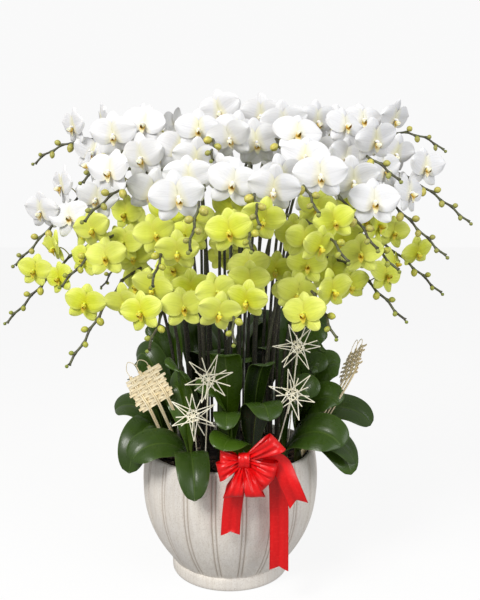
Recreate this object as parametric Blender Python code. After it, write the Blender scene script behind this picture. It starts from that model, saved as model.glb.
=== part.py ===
"""Potted orchid: a ribbed stone-glazed pot planted with two tiers of arching moth orchid spikes.

White spikes make the upper tier and yellow spikes the lower one. Leaf pairs, straw stars, woven slat
fans and a ribbon bow dress the pot. Units are metres, +Z is up, the front is towards -Y, and the
origin is the centre of the pot's underside.
"""
import math
from collections import namedtuple

import bmesh
import bpy
from mathutils import Matrix, Vector
from mathutils.bvhtree import BVHTree

GAP = 0.0003
UP = Vector((0.0, 0.0, 1.0))
FRONT = Vector((0.0, -1.0, 0.0))

# Pot
POT_HEIGHT = 0.284
POT_WIDEST_RADIUS = 0.200
POT_WIDEST_HEIGHT = 0.211
POT_RIM_RADIUS = 0.192
POT_FOOT_RADIUS = 0.133
POT_FOOT_HEIGHT = 0.030
POT_WALL = 0.012
POT_FLOOR = 0.016
POT_SIDE_POWER = 2.2
LOBES = 20
LOBE_SIDES = 2
LOBE_SEAM_DEPTH = 0.003

# Growing medium
MEDIUM_BELOW_RIM = 0.022
MEDIUM_TOP = POT_HEIGHT - MEDIUM_BELOW_RIM
PLANT_FOOT = MEDIUM_TOP + GAP

# Flower spikes
STEM_FOOT_RADIUS = 0.0034
STEM_TIP_RADIUS = 0.0014
STEM_SIDES = 4
PEDICEL_RADIUS = 0.0018
FLOWER_DEPTH = 0.012
BUD_PITCH = 0.026
CLEAR_SCALE = 1.05

Variety = namedtuple("Variety", "petal_radius pitch reach_out reach_side bud_length")
WHITE = Variety(petal_radius=0.047, pitch=0.034, reach_out=0.022, reach_side=0.034, bud_length=0.026)
YELLOW = Variety(petal_radius=0.039, pitch=0.031, reach_out=0.020, reach_side=0.029, bud_length=0.023)

# A spike rises from its foot, bows over its crest and droops to its tip.
Spike = namedtuple("Spike", "foot crest tip flowers buds")
WHITE_SPIKES = (
    Spike((-0.070, 0.050), (-0.140, 0.090, 0.985), (-0.460, 0.100, 0.930), 6, 5),
    Spike((-0.050, 0.000), (-0.100, -0.030, 0.970), (-0.280, -0.200, 0.865), 4, 5),
    Spike((-0.060, -0.040), (-0.085, -0.100, 0.900), (-0.260, -0.280, 0.790), 5, 5),
    Spike((-0.090, 0.010), (-0.200, -0.030, 0.905), (-0.455, -0.080, 0.700), 5, 5),
    Spike((-0.025, -0.055), (-0.025, -0.150, 0.900), (-0.060, -0.420, 0.740), 5, 5),
    Spike((0.020, -0.060), (0.035, -0.140, 0.905), (0.052, -0.410, 0.780), 5, 4),
    Spike((0.055, -0.050), (0.085, -0.120, 0.905), (0.150, -0.390, 0.800), 5, 4),
    Spike((0.082, -0.025), (0.140, -0.110, 0.900), (0.260, -0.330, 0.740), 6, 4),
    Spike((0.105, 0.005), (0.190, -0.050, 0.910), (0.445, -0.120, 0.720), 5, 6),
    Spike((0.095, 0.040), (0.210, 0.030, 0.945), (0.525, -0.020, 0.790), 6, 6),
    Spike((0.075, 0.075), (0.190, 0.120, 0.985), (0.515, 0.150, 0.965), 6, 6),
    Spike((0.050, 0.000), (0.130, -0.040, 0.965), (0.320, -0.230, 0.865), 5, 4),
    Spike((0.030, 0.040), (0.060, -0.010, 0.985), (0.110, -0.250, 0.890), 5, 4),
    Spike((-0.010, 0.015), (-0.020, -0.010, 0.985), (-0.030, -0.260, 0.900), 5, 4),
    Spike((-0.045, 0.085), (-0.120, 0.150, 0.995), (-0.310, 0.360, 0.900), 6, 5),
    Spike((0.040, 0.095), (0.110, 0.160, 0.985), (0.300, 0.370, 0.890), 6, 5),
)
YELLOW_SPIKES = (
    Spike((-0.110, -0.030), (-0.240, -0.070, 0.760), (-0.470, -0.100, 0.580), 6, 5),
    Spike((-0.085, -0.050), (-0.160, -0.120, 0.790), (-0.310, -0.260, 0.670), 5, 4),
    Spike((-0.092, -0.075), (-0.165, -0.165, 0.700), (-0.290, -0.300, 0.530), 6, 5),
    Spike((-0.060, -0.075), (-0.085, -0.170, 0.790), (-0.125, -0.390, 0.680), 6, 4),
    Spike((-0.050, -0.100), (-0.075, -0.190, 0.690), (-0.135, -0.370, 0.570), 6, 3),
    Spike((-0.005, -0.110), (0.005, -0.210, 0.700), (0.012, -0.430, 0.590), 6, 3),
    Spike((0.065, -0.100), (0.120, -0.190, 0.690), (0.185, -0.370, 0.590), 6, 3),
    Spike((0.105, -0.065), (0.190, -0.125, 0.720), (0.340, -0.220, 0.600), 6, 4),
    Spike((0.125, -0.020), (0.250, -0.050, 0.770), (0.450, -0.080, 0.640), 6, 4),
    Spike((0.086, -0.080), (0.165, -0.130, 0.800), (0.310, -0.280, 0.700), 6, 3),
    Spike((0.045, -0.085), (0.105, -0.170, 0.800), (0.200, -0.390, 0.720), 6, 3),
    Spike((0.018, -0.090), (0.025, -0.190, 0.800), (0.040, -0.430, 0.740), 6, 3),
    Spike((-0.090, 0.080), (-0.180, 0.150, 0.780), (-0.350, 0.300, 0.620), 6, 4),
    Spike((0.090, 0.090), (0.180, 0.150, 0.780), (0.350, 0.300, 0.620), 6, 4),
    Spike((0.000, 0.110), (0.000, 0.220, 0.780), (0.000, 0.430, 0.620), 6, 4),
)

# One or two leaves share a sheathing base, and a spray may have one more above them on its crown. Each leaf has
# a tip, a height that it rises to, a width, and how many degrees its blade is rolled about its own length.
Leaf = namedtuple("Leaf", "tip rise width roll", defaults=(0,))
Spray = namedtuple("Spray", "foot lower upper", defaults=((),))
LEAF_SPRAYS = (
    Spray(
        (-0.085, -0.128),
        (Leaf((-0.066, -0.241, 0.247), 0.062, 0.068), Leaf((-0.200, -0.165, 0.300), 0.070, 0.078, -35)),
    ),
    Spray(
        (-0.150, -0.020),
        (Leaf((-0.212, -0.130, 0.262), 0.095, 0.080, -20), Leaf((-0.262, -0.010, 0.365), 0.110, 0.085, -25)),
    ),
    Spray((0.022, -0.152), (Leaf((-0.010, -0.264, 0.356), 0.095, 0.074, -15),)),
    Spray(
        (-0.002, -0.132),
        (Leaf((-0.004, -0.250, 0.392), 0.145, 0.054),),
        (Leaf((-0.010, -0.172, 0.520), 0.215, 0.066),),
    ),
    Spray(
        (0.048, -0.136),
        (Leaf((0.078, -0.244, 0.408), 0.165, 0.074),),
        (Leaf((0.076, -0.170, 0.500), 0.200, 0.066),),
    ),
    Spray((0.118, -0.123), (Leaf((0.228, -0.180, 0.335), 0.095, 0.088, 42),)),
    Spray((0.150, -0.062), (Leaf((0.256, -0.138, 0.262), 0.075, 0.076, 25),)),
    Spray(
        (0.160, 0.015),
        (Leaf((0.320, -0.010, 0.330), 0.110, 0.080, 35), Leaf((0.226, 0.125, 0.390), 0.110, 0.070)),
    ),
    Spray(
        (0.125, 0.055),
        (Leaf((0.228, 0.062, 0.550), 0.260, 0.070, 48), Leaf((0.178, 0.180, 0.490), 0.205, 0.066)),
    ),
    Spray(
        (0.070, 0.138),
        (Leaf((0.170, 0.240, 0.320), 0.090, 0.078), Leaf((0.050, 0.240, 0.510), 0.210, 0.080)),
    ),
    Spray(
        (-0.080, 0.135),
        (Leaf((-0.070, 0.235, 0.500), 0.205, 0.080), Leaf((-0.210, 0.200, 0.340), 0.095, 0.078)),
    ),
    Spray(
        (-0.135, 0.065),
        (Leaf((-0.245, 0.110, 0.410), 0.135, 0.074), Leaf((-0.154, 0.212, 0.420), 0.145, 0.060)),
    ),
    Spray(
        (0.000, 0.148),
        (Leaf((0.085, 0.165, 0.550), 0.262, 0.064, 20), Leaf((-0.085, 0.165, 0.530), 0.250, 0.064, -20)),
    ),
)
LEAF_STATIONS = 7
LEAF_THICKNESS = 0.0034
LEAF_BASE_THICKENING = 1.2
LEAF_FOLD = 0.16
LEAF_SHOULDER = 0.80
LEAF_SHEATH = 0.18
LEAF_FULL = 0.50
LEAF_ROUNDING = 0.38
LEAF_PAIR_RISE = 0.014
CROWN_RADIUS = 0.009
CROWN_OVERLAP = 0.004

# Bow and ribbon tails
RIBBON_WIDTH = 0.038
RIBBON_THICKNESS = 0.0010
NOTCH_DEPTH = 0.012
BOW_KNOT = Vector((0.030, -0.246, 0.331))
KNOT_RADIUS = 0.014
BowLoop = namedtuple("BowLoop", "reach width fullness")
BOW_LOOPS = (
    BowLoop((0.066, 0.000, 0.038), 0.040, 0.024),
    BowLoop((0.062, -0.006, -0.018), 0.036, 0.020),
    BowLoop((-0.050, -0.004, -0.022), 0.036, 0.016),
    BowLoop((-0.022, -0.012, -0.068), 0.034, 0.018),
    BowLoop((0.022, -0.012, -0.068), 0.036, 0.018),
)
RIBBON_TAILS = {
    "ribbon_tail_left": ((0.012, -0.232, 0.262), (0.006, -0.228, 0.215), (0.003, -0.222, 0.168)),
    "ribbon_tail_right": (
        (0.094, -0.226, 0.290),
        (0.100, -0.218, 0.220),
        (0.101, -0.212, 0.150),
        (0.101, -0.209, 0.088),
    ),
    "ribbon_tail_short": ((0.098, -0.240, 0.322), (0.118, -0.246, 0.285), (0.137, -0.246, 0.240)),
}
BOW_PICK_FOOT = Vector((0.030, -0.160, PLANT_FOOT))
STICK_RADIUS = 0.0020
STICK_FOOT = PLANT_FOOT + STICK_RADIUS

# Straw stars: centre and the foot of the stick
STRAW_STARS = (
    (Vector((-0.040, -0.200, 0.480)), Vector((-0.052, -0.128, STICK_FOOT))),
    (Vector((-0.071, -0.195, 0.404)), Vector((-0.066, -0.100, STICK_FOOT))),
    (Vector((0.126, -0.200, 0.450)), Vector((0.085, -0.125, STICK_FOOT))),
    (Vector((0.140, -0.150, 0.536)), Vector((0.122, -0.088, STICK_FOOT))),
)
STAR_RADIUS = 0.055
STAR_WAIST = 0.010
STAR_POINTS = 8
STAR_DEPTH = 0.010

# Woven slat fans: centre, slat direction, stack direction, and the foot of the handle
Fan = namedtuple("Fan", "centre slat stack foot")
FANS = {
    "woven_fan_left": Fan((-0.166, -0.130, 0.445), (0.80, -0.20, 0.52), (0.48, -0.10, -0.86), (-0.100, -0.050)),
    "woven_fan_right": Fan((0.267, -0.052, 0.480), (0.30, -0.75, 0.45), (-0.45, -0.05, -0.88), (0.158, -0.024)),
}
FAN_WIDTH = 0.080
FAN_HEIGHT = 0.072
FAN_THICKNESS = 0.006
FAN_HANDLE_SPREAD = 0.024

# Support stakes: foot and height of the top
SUPPORT_STAKES = (
    (Vector((0.000, -0.030, PLANT_FOOT)), 0.860),
    (Vector((0.035, -0.030, PLANT_FOOT)), 0.860),
    (Vector((-0.120, 0.020, PLANT_FOOT)), 0.700),
)
STAKE_RADIUS = 0.0016

# Materials: colour, roughness
LOOKS = {
    "stone_glaze": ((0.72, 0.69, 0.64), 0.65),
    "bark": ((0.10, 0.06, 0.04), 0.90),
    "white_petal": ((0.92, 0.92, 0.93), 0.45),
    "yellow_petal": ((0.80, 0.83, 0.22), 0.45),
    "leaf_green": ((0.04, 0.12, 0.03), 0.35),
    "red_satin": ((0.78, 0.02, 0.03), 0.30),
    "straw": ((0.85, 0.78, 0.58), 0.60),
    "bamboo": ((0.83, 0.68, 0.43), 0.55),
    "stake_wire": ((0.12, 0.16, 0.12), 0.40),
}


def clear_scene():
    for obj in list(bpy.data.objects):
        bpy.data.objects.remove(obj)


def make_material(name):
    colour, roughness = LOOKS[name]
    material = bpy.data.materials.new(name)
    material.use_nodes = True
    shader = material.node_tree.nodes["Principled BSDF"]
    shader.inputs["Base Color"].default_value = (*colour, 1.0)
    shader.inputs["Roughness"].default_value = roughness
    shader.inputs["Metallic"].default_value = 0.0
    return material


def add_object(name, points, faces, look, smooth=True):
    """One mesh object with its faces turned outwards."""
    mesh = bpy.data.meshes.new(name)
    mesh.from_pydata([tuple(p) for p in points], [], faces)
    shape = bmesh.new()
    shape.from_mesh(mesh)
    bmesh.ops.recalc_face_normals(shape, faces=shape.faces)
    shape.to_mesh(mesh)
    shape.free()
    if smooth:
        mesh.shade_smooth()
    mesh.materials.append(make_material(look))
    obj = bpy.data.objects.new(name, mesh)
    bpy.context.scene.collection.objects.link(obj)
    return obj


def join_on(obj, helper):
    """Makes a Boolean union of an object with a helper that is hidden."""
    helper.hide_render = True
    helper.display_type = "WIRE"
    union = obj.modifiers.new("union", "BOOLEAN")
    union.operation = "UNION"
    union.solver = "EXACT"
    union.use_self = True
    union.object = helper


def loft(rings, start=None, end=None):
    """Points and faces of a closed skin through equal rings, ending in a flat cap or in a given point."""
    sides = len(rings[0])
    points = [p for ring in rings for p in ring]
    faces = []
    for row in range(len(rings) - 1):
        for side in range(sides):
            near = row * sides
            beside = (side + 1) % sides
            faces.append((near + side, near + beside, near + sides + beside, near + sides + side))
    for tip, first in ((start, 0), (end, (len(rings) - 1) * sides)):
        if tip is None:
            faces.append(tuple(range(first, first + sides)))
            continue
        points.append(tip)
        for side in range(sides):
            faces.append((first + side, first + (side + 1) % sides, len(points) - 1))
    return points, faces


def bezier(controls, t):
    a, b, c, d = controls
    s = 1.0 - t
    return s ** 3 * a + 3 * s * s * t * b + 3 * s * t * t * c + t ** 3 * d


def frame_across(direction, hint):
    """Two unit vectors across a direction, the second one as near to the hint as it can be."""
    first = direction.cross(hint)
    if first.length < 1e-6:
        first = direction.cross(Vector((1.0, 0.0, 0.0)))
    first.normalize()
    return first, first.cross(direction).normalized()


def tube_rings(path, radii, sides, hint=Vector((1.0, 0.3, 0.0))):
    """A round ring at each point of a path, square to the path, each turned the way of the hint."""
    rings = []
    for i, point in enumerate(path):
        direction = (path[min(i + 1, len(path) - 1)] - path[max(i - 1, 0)]).normalized()
        across, upward = frame_across(direction, hint)
        turn = [2 * math.pi * k / sides for k in range(sides)]
        rings.append([point + radii[i] * (math.cos(a) * across + math.sin(a) * upward) for a in turn])
    return rings


def join_meshes(parts):
    points, faces = [], []
    for some_points, some_faces in parts:
        shift = len(points)
        points += some_points
        faces += [tuple(i + shift for i in face) for face in some_faces]
    return points, faces


# Pot and growing medium


def pot_radius(height):
    if height <= POT_WIDEST_HEIGHT:
        part = (POT_WIDEST_HEIGHT - height) / (POT_WIDEST_HEIGHT - POT_FOOT_HEIGHT)
        return POT_WIDEST_RADIUS - (POT_WIDEST_RADIUS - POT_FOOT_RADIUS) * part ** POT_SIDE_POWER
    part = (height - POT_WIDEST_HEIGHT) / (POT_HEIGHT - POT_WIDEST_HEIGHT)
    return POT_WIDEST_RADIUS - (POT_WIDEST_RADIUS - POT_RIM_RADIUS) * part ** 2


def pot_ring(radius, height, seam_depth=0.0):
    ring = []
    for step in range(LOBES * LOBE_SIDES):
        angle = 2 * math.pi * (step / LOBE_SIDES + 0.5) / LOBES - math.pi / 2
        reach = radius - (seam_depth if step % LOBE_SIDES == 0 else 0.0)
        ring.append(Vector((reach * math.cos(angle), reach * math.sin(angle), height)))
    return ring


def inner_stations():
    """Radius and height of the pot's inside, from the floor to just under the rim."""
    heights = (POT_FLOOR, 0.060, 0.120, 0.180, MEDIUM_TOP)
    return [(pot_radius(max(h, POT_FOOT_HEIGHT)) - POT_WALL, h) for h in heights]


def build_pot():
    foot_edge = 0.003
    rings = [pot_ring(POT_FOOT_RADIUS - foot_edge, 0.0)]
    rings.append(pot_ring(POT_FOOT_RADIUS, foot_edge))
    rings.append(pot_ring(POT_FOOT_RADIUS, POT_FOOT_HEIGHT - foot_edge))
    rings.append(pot_ring(pot_radius(POT_FOOT_HEIGHT) - foot_edge, POT_FOOT_HEIGHT))
    for height in (0.055, 0.095, 0.145, POT_WIDEST_HEIGHT, 0.250, POT_HEIGHT - foot_edge):
        rings.append(pot_ring(pot_radius(height), height, LOBE_SEAM_DEPTH))
    rings.append(pot_ring(POT_RIM_RADIUS - foot_edge, POT_HEIGHT))
    rings.append(pot_ring(POT_RIM_RADIUS - POT_WALL + foot_edge, POT_HEIGHT))
    rings.append(pot_ring(POT_RIM_RADIUS - POT_WALL, POT_HEIGHT - foot_edge))
    rings += [pot_ring(radius, height) for radius, height in reversed(inner_stations())]
    points, faces = loft(rings)
    add_object("pot", points, faces, "stone_glaze")


def build_medium():
    rings = []
    for radius, height in inner_stations():
        lift = GAP if height == POT_FLOOR else 0.0
        rings.append(pot_ring(radius - 2 * GAP, height + lift))
    points, faces = loft(rings)
    add_object("growing_medium", points, faces, "bark", smooth=False)


# Flower spikes


def spike_path(spike):
    """The stem's centre line, and how far along it each point lies."""
    foot = Vector((*spike.foot, PLANT_FOOT))
    crest, tip = Vector(spike.crest), Vector(spike.tip)
    level = Vector((tip.x - crest.x, tip.y - crest.y, 0.0))
    span = level.length
    level.normalize()
    rise = crest.z - foot.z
    rising = (foot, foot + 0.55 * rise * UP, crest - 0.30 * span * level, crest)
    droop = (1.0 * level - 0.9 * UP).normalized()
    falling = (crest, crest + 0.38 * span * level, tip - 0.36 * span * droop, tip)
    path = [bezier(rising, t) for t in (0.0, 0.35, 0.60, 0.78, 0.90)]
    path += [bezier(falling, t) for t in (0.0, 0.25, 0.50, 0.75, 1.0)]
    lengths = [0.0]
    for near, far in zip(path, path[1:]):
        lengths.append(lengths[-1] + (far - near).length)
    return path, lengths


def point_at(path, lengths, distance):
    """The point and the direction of travel at a distance along a path."""
    last = len(path) - 2
    step = next((i for i in range(last) if lengths[i + 1] >= distance), last)
    share = (distance - lengths[step]) / (lengths[step + 1] - lengths[step])
    near, far = path[step], path[step + 1]
    return near.lerp(far, share), (far - near).normalized()


def facing(spike):
    """Which way the spike's flowers look: outwards, and to the front on the spikes that stand there."""
    outwards = Vector((spike.tip[0] - spike.crest[0], spike.tip[1] - spike.crest[1], 0.0)).normalized()
    lean = FRONT if spike.tip[1] < 0.2 else -FRONT
    return (0.55 * outwards + 0.75 * lean - 0.10 * UP).normalized()


def wobble(count):
    """A steady uneven value from -1 to 1."""
    return math.sin(2.4 * count + 0.7)


PETAL_OUTLINE = (
    (90, 0.96), (63, 0.60), (18, 1.03), (-52, 0.94),
    (-90, 0.48), (232, 0.94), (162, 1.03), (117, 0.60),
)  # fmt: skip
BACK_ANGLES = (54, -90, 140)


def flower_solid(start, centre, look, radius):
    """A pedicel that widens into a five-lobed flower, with its lip as the high point in front."""
    across, upward = frame_across(look, UP)

    def spoke(angle):
        return math.cos(math.radians(angle)) * across + math.sin(math.radians(angle)) * upward

    back = centre - 0.3 * FLOWER_DEPTH * look
    points = [start] + [back + PEDICEL_RADIUS * spoke(angle) for angle in BACK_ANGLES]
    points += [centre + radius * reach * spoke(angle) for angle, reach in PETAL_OUTLINE]
    points.append(centre + FLOWER_DEPTH * look - 0.12 * radius * upward)
    faces = [(0, k, k % 3 + 1) for k in (1, 2, 3)]
    count = len(PETAL_OUTLINE)
    front = 4 + count
    joined = [1 + 3 * i // count for i in range(count)]
    for i in range(count):
        beside = (i + 1) % count
        faces.append((4 + i, 4 + beside, front))
        faces.append((4 + beside, 4 + i, joined[i]))
        if joined[i] != joined[beside]:
            faces.append((4 + beside, joined[i], joined[beside]))
    return points, faces


def bud_solid(start, tip):
    """A drop that widens from its stalk to two thirds of its length."""
    direction = (tip - start).normalized()
    length = (tip - start).length
    across, upward = frame_across(direction, FRONT)
    middle = start.lerp(tip, 0.66)
    ring = []
    for k in range(4):
        a = 2 * math.pi * k / 4
        ring.append(middle + 0.30 * length * (math.cos(a) * across + math.sin(a) * upward))
    return loft([ring], start=start, end=tip)[0], [
        (0, 1, 4), (1, 2, 4), (2, 3, 4), (3, 0, 4), (1, 0, 5), (2, 1, 5), (3, 2, 5), (0, 3, 5),
    ]  # fmt: skip


def grown(points, centre):
    return [centre + CLEAR_SCALE * (p - centre) for p in points]


def blooms_of(index, spike, variety):
    """Each flower and bud of a spike, from the tip inwards, as (start, end, look, radius)."""
    path, lengths = spike_path(spike)
    look = facing(spike)
    distance = lengths[-1]
    blooms = []
    for count in range(spike.buds + spike.flowers):
        place, travel = point_at(path, lengths, distance)
        side, _ = frame_across(travel, look)
        side = side if count % 2 else -side
        if count < spike.buds:
            size = variety.bud_length * (0.45 + 0.55 * count / spike.buds)
            outwards = (side + 0.5 * travel + 0.3 * look).normalized()
            if count == 0:
                outwards = travel
                place = place - 2 * STEM_TIP_RADIUS * travel
            blooms.append((place, place + size * outwards, None, 0.0))
            distance -= BUD_PITCH
            continue
        turn = Matrix.Rotation(math.radians(16 * wobble(count + index)), 3, "Z")
        tilt = 0.12 * wobble(3 * count + index)
        own_look = (turn @ look + tilt * UP).normalized()
        centre = place + variety.reach_side * side + variety.reach_out * own_look
        size = variety.petal_radius * (1.0 + 0.05 * wobble(5 * count + index))
        blooms.append((place, centre, own_look, size))
        distance -= variety.pitch
    return blooms


def build_spikes():
    plans = []
    for colour, variety, spikes in (("white", WHITE, WHITE_SPIKES), ("yellow", YELLOW, YELLOW_SPIKES)):
        for number, spike in enumerate(spikes, 1):
            plans.append((f"{colour}_spike_{number:02}", f"{colour}_petal", spike, variety))
    stems, trees = [], []
    for name, look, spike, variety in plans:
        path, lengths = spike_path(spike)
        thin = STEM_TIP_RADIUS - STEM_FOOT_RADIUS
        radii = [STEM_FOOT_RADIUS + thin * distance / lengths[-1] for distance in lengths]
        beside = (path[-1] - path[0]).cross(UP)
        stem = loft(tube_rings(path, radii, STEM_SIDES, beside))
        stems.append(stem)
        trees.append([BVHTree.FromPolygons(*stem)])
    blooms = [blooms_of(i, spike, variety) for i, (_, _, spike, variety) in enumerate(plans)]
    grown_blooms = [[] for _ in plans]
    for count in range(max(len(row) for row in blooms)):
        for i, row in enumerate(blooms):
            if count >= len(row):
                continue
            start, end, look, radius = row[count]
            solid = flower_solid(start, end, look, radius) if look else bud_solid(start, end)
            space = BVHTree.FromPolygons(grown(solid[0], end), solid[1])
            others = (tree for j, own in enumerate(trees) if j != i for tree in own)
            if any(space.overlap(tree) for tree in others):
                continue
            trees[i].append(BVHTree.FromPolygons(*solid))
            grown_blooms[i].append(solid)
    for (name, look, _, _), stem, solids in zip(plans, stems, grown_blooms):
        spike_object = add_object(name, *stem, look)
        helper = add_object(f"{name}_blooms", *join_meshes(solids), look)
        join_on(spike_object, helper)


# Leaves


def leaf_path(foot, leaf):
    tip = Vector(leaf.tip)
    shoulder = foot.lerp(tip, LEAF_SHOULDER)
    shoulder.z = max(foot.z + 1.15 * leaf.rise, tip.z)
    controls = (foot, foot + leaf.rise * UP, shoulder, tip)
    return [bezier(controls, i / LEAF_STATIONS) for i in range(LEAF_STATIONS + 1)]


def leaf_width(part, width):
    """Half the width of the blade at a part of its length: a narrow sheath, an even blade and a round end."""
    growth = math.sin(0.5 * math.pi * min(1.0, part / LEAF_FULL))
    past = max(0.0, (part - 1.0) / LEAF_ROUNDING + 1.0)
    return 0.5 * width * max(LEAF_SHEATH, growth * math.sqrt(max(0.0, 1.0 - past * past)))


def cut_alike(faces):
    """The blade's faces with each four-sided one halved from the blade's edge, the same way on top and underneath."""
    halves = []
    for number, face in enumerate(faces):
        if len(face) < 4:
            halves.append(face)
            continue
        a, b, c, d = face
        halves += [(a, b, c), (a, c, d)] if number % 2 == 0 else [(a, b, d), (b, c, d)]
    return halves


def leaf_pair(foot, first, second=None):
    """One folded strip: from the first leaf's tip in to the foot and, if there is a second leaf, out to its tip."""
    path = list(reversed(leaf_path(foot, first)))
    if second:
        path += leaf_path(foot, second)[1:]
    rings = []
    for i in range(1, len(path) - 1 if second else len(path)):
        leaf, way = (first, -1) if i < LEAF_STATIONS or not second else (second, 1)
        part = abs(i - LEAF_STATIONS) / LEAF_STATIONS
        travel = (path[min(i + 1, len(path) - 1)] - path[i - 1]).normalized()
        side = Vector((travel.x, travel.y, 0.0)).normalized().cross(UP)
        turn = math.radians(way * leaf.roll * min(1.0, 2 * part))
        side = Matrix.Rotation(turn, 3, travel) @ side
        over = side.cross(travel).normalized()
        width = leaf_width(part, leaf.width)
        thick = LEAF_THICKNESS * (1.0 + LEAF_BASE_THICKENING * (1.0 - min(1.0, 3 * part)))
        edge = LEAF_FOLD * width * over
        rings.append(
            [path[i] - width * side + edge, path[i] + 0.5 * thick * over,
             path[i] + width * side + edge, path[i] - 0.5 * thick * over]
        )  # fmt: skip
    points, faces = loft(rings, start=path[0], end=path[-1] if second else None)
    return points, cut_alike(faces)


def build_leaves():
    for number, spray in enumerate(LEAF_SPRAYS, 1):
        name = f"leaf_spray_{number:02}"
        foot = Vector((*spray.foot, PLANT_FOOT + 0.012))
        leaves = add_object(name, *leaf_pair(foot, *spray.lower), "leaf_green")
        if spray.upper:
            above = foot + LEAF_PAIR_RISE * UP
            ends = (foot - CROWN_OVERLAP * UP, above + CROWN_OVERLAP * UP)
            crown = loft(tube_rings(ends, (CROWN_RADIUS, CROWN_RADIUS), 7))
            upper = join_meshes([crown, leaf_pair(above, *spray.upper)])
            helper = add_object(f"{name}_upper", *upper, "leaf_green")
            join_on(leaves, helper)


# Bow and ribbon tails


def build_bow():
    knot = bmesh.new()
    bmesh.ops.create_icosphere(knot, subdivisions=1, radius=KNOT_RADIUS)
    points = [BOW_KNOT + v.co for v in knot.verts]
    faces = [tuple(v.index for v in face.verts) for face in knot.faces]
    knot.free()
    bow = add_object("bow", points, faces, "red_satin")
    loops = []
    for loop in BOW_LOOPS:
        reach = Vector(loop.reach)
        side = reach.cross(FRONT).normalized()
        over = side.cross(reach).normalized()
        rings = []
        for part, share in ((0.0, 0.22), (0.35, 0.80), (0.75, 1.0), (1.0, 0.75)):
            place = BOW_KNOT + part * reach
            half = 0.5 * loop.width * share
            full = 0.5 * loop.fullness * share
            rings.append([place - half * side, place + full * over, place + half * side, place - full * over])
        loops.append(loft(rings))
    join_on(bow, add_object("bow_loops", *join_meshes(loops), "red_satin"))


def build_ribbon_tails():
    for name, route in RIBBON_TAILS.items():
        path = [Vector(p) for p in route]
        rings = []
        for i, place in enumerate(path):
            travel = (path[min(i + 1, len(path) - 1)] - path[max(i - 1, 0)]).normalized()
            side = travel.cross(FRONT).normalized()
            over = side.cross(travel).normalized()
            notch = NOTCH_DEPTH * travel if i == len(path) - 1 else Vector()
            half = 0.5 * RIBBON_WIDTH * side
            skin = 0.5 * RIBBON_THICKNESS * over
            rings.append(
                [place - half + skin, place - notch + skin, place + half + skin,
                 place + half - skin, place - notch - skin, place - half - skin]
            )  # fmt: skip
        points, faces = loft(rings)
        last = len(points) - 6
        faces = faces[:-1] + [(last, last + 1, last + 4, last + 5), (last + 1, last + 2, last + 3, last + 4)]
        add_object(name, points, faces, "red_satin")
    pick_top = BOW_KNOT + Vector((0.0, KNOT_RADIUS + 2 * GAP, 0.0))
    bend = BOW_PICK_FOOT.lerp(pick_top, 0.5) + Vector((0.0, 0.015, 0.030))
    path = [BOW_PICK_FOOT, bend, pick_top]
    add_object("bow_pick", *loft(tube_rings(path, [STICK_RADIUS * 0.6] * 3, 6)), "stake_wire")


# Straw stars, woven fans and support stakes


def build_straw_stars():
    for number, (centre, foot) in enumerate(STRAW_STARS, 1):
        ring = []
        for k in range(2 * STAR_POINTS):
            angle = math.pi * k / STAR_POINTS + 0.2 * number
            reach = STAR_RADIUS if k % 2 == 0 else STAR_WAIST
            ring.append(centre + reach * Vector((math.cos(angle), 0.0, math.sin(angle))))
        depth = STAR_DEPTH * FRONT
        star = loft([ring], start=centre + depth, end=centre - depth)
        rim = 2 * STAR_POINTS
        star_faces = [face for face in star[1] if len(face) == 3]
        star_object = add_object(f"straw_star_{number}", star[0][: rim + 2], star_faces, "straw")
        stick = loft(tube_rings([foot, centre], [STICK_RADIUS] * 2, 4))
        join_on(star_object, add_object(f"straw_star_{number}_stick", *stick, "straw"))


def build_woven_fans():
    for name, fan in FANS.items():
        centre = Vector(fan.centre)
        slat = Vector(fan.slat).normalized()
        stack = Vector(fan.stack)
        stack = (stack - stack.dot(slat) * slat).normalized()
        over = slat.cross(stack)
        corners = []
        for depth in (-0.5, 0.5):
            for along, down in ((-0.5, -0.5), (0.5, -0.5), (0.5, 0.5), (-0.5, 0.5)):
                reach = along * FAN_WIDTH * slat + down * FAN_HEIGHT * stack
                corners.append(centre + reach + depth * FAN_THICKNESS * over)
        mat = loft([corners[:4], corners[4:]])
        foot = Vector((*fan.foot, STICK_FOOT))
        sticks = []
        for k in (-1, 0, 1):
            spread = k * FAN_HANDLE_SPREAD * slat
            low = centre + 0.5 * FAN_HEIGHT * stack + spread
            high = centre - 0.45 * FAN_HEIGHT * stack + spread
            hand = foot + (0.004 * k) * Vector((slat.x, slat.y, 0.0))
            sticks.append(loft(tube_rings([hand, low, high], [STICK_RADIUS] * 3, 4)))
        fan_object = add_object(name, *mat, "bamboo", smooth=False)
        join_on(fan_object, add_object(f"{name}_handle", *join_meshes(sticks), "bamboo"))


def build_support_stakes():
    for number, (foot, top) in enumerate(SUPPORT_STAKES, 1):
        path = [foot, Vector((foot.x, foot.y, top))]
        add_object(f"support_stake_{number}", *loft(tube_rings(path, [STAKE_RADIUS] * 2, 6)), "stake_wire")


def main():
    clear_scene()
    build_pot()
    build_medium()
    build_spikes()
    build_leaves()
    build_bow()
    build_ribbon_tails()
    build_straw_stars()
    build_woven_fans()
    build_support_stakes()


main()
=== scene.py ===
"""Looks of the potted orchid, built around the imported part.

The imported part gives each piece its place. Here every spike gets its petals, lips, buds and bracts, and
every leaf its crease and gloss. The pot, bark, ribbon, straw and slats get their fine shape. Units are
metres, +Z is up, and the front is towards -Y.
"""
import math
from collections import namedtuple

import bpy
import numpy as np
from mathutils import Matrix, Vector
from mathutils.kdtree import KDTree


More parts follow.
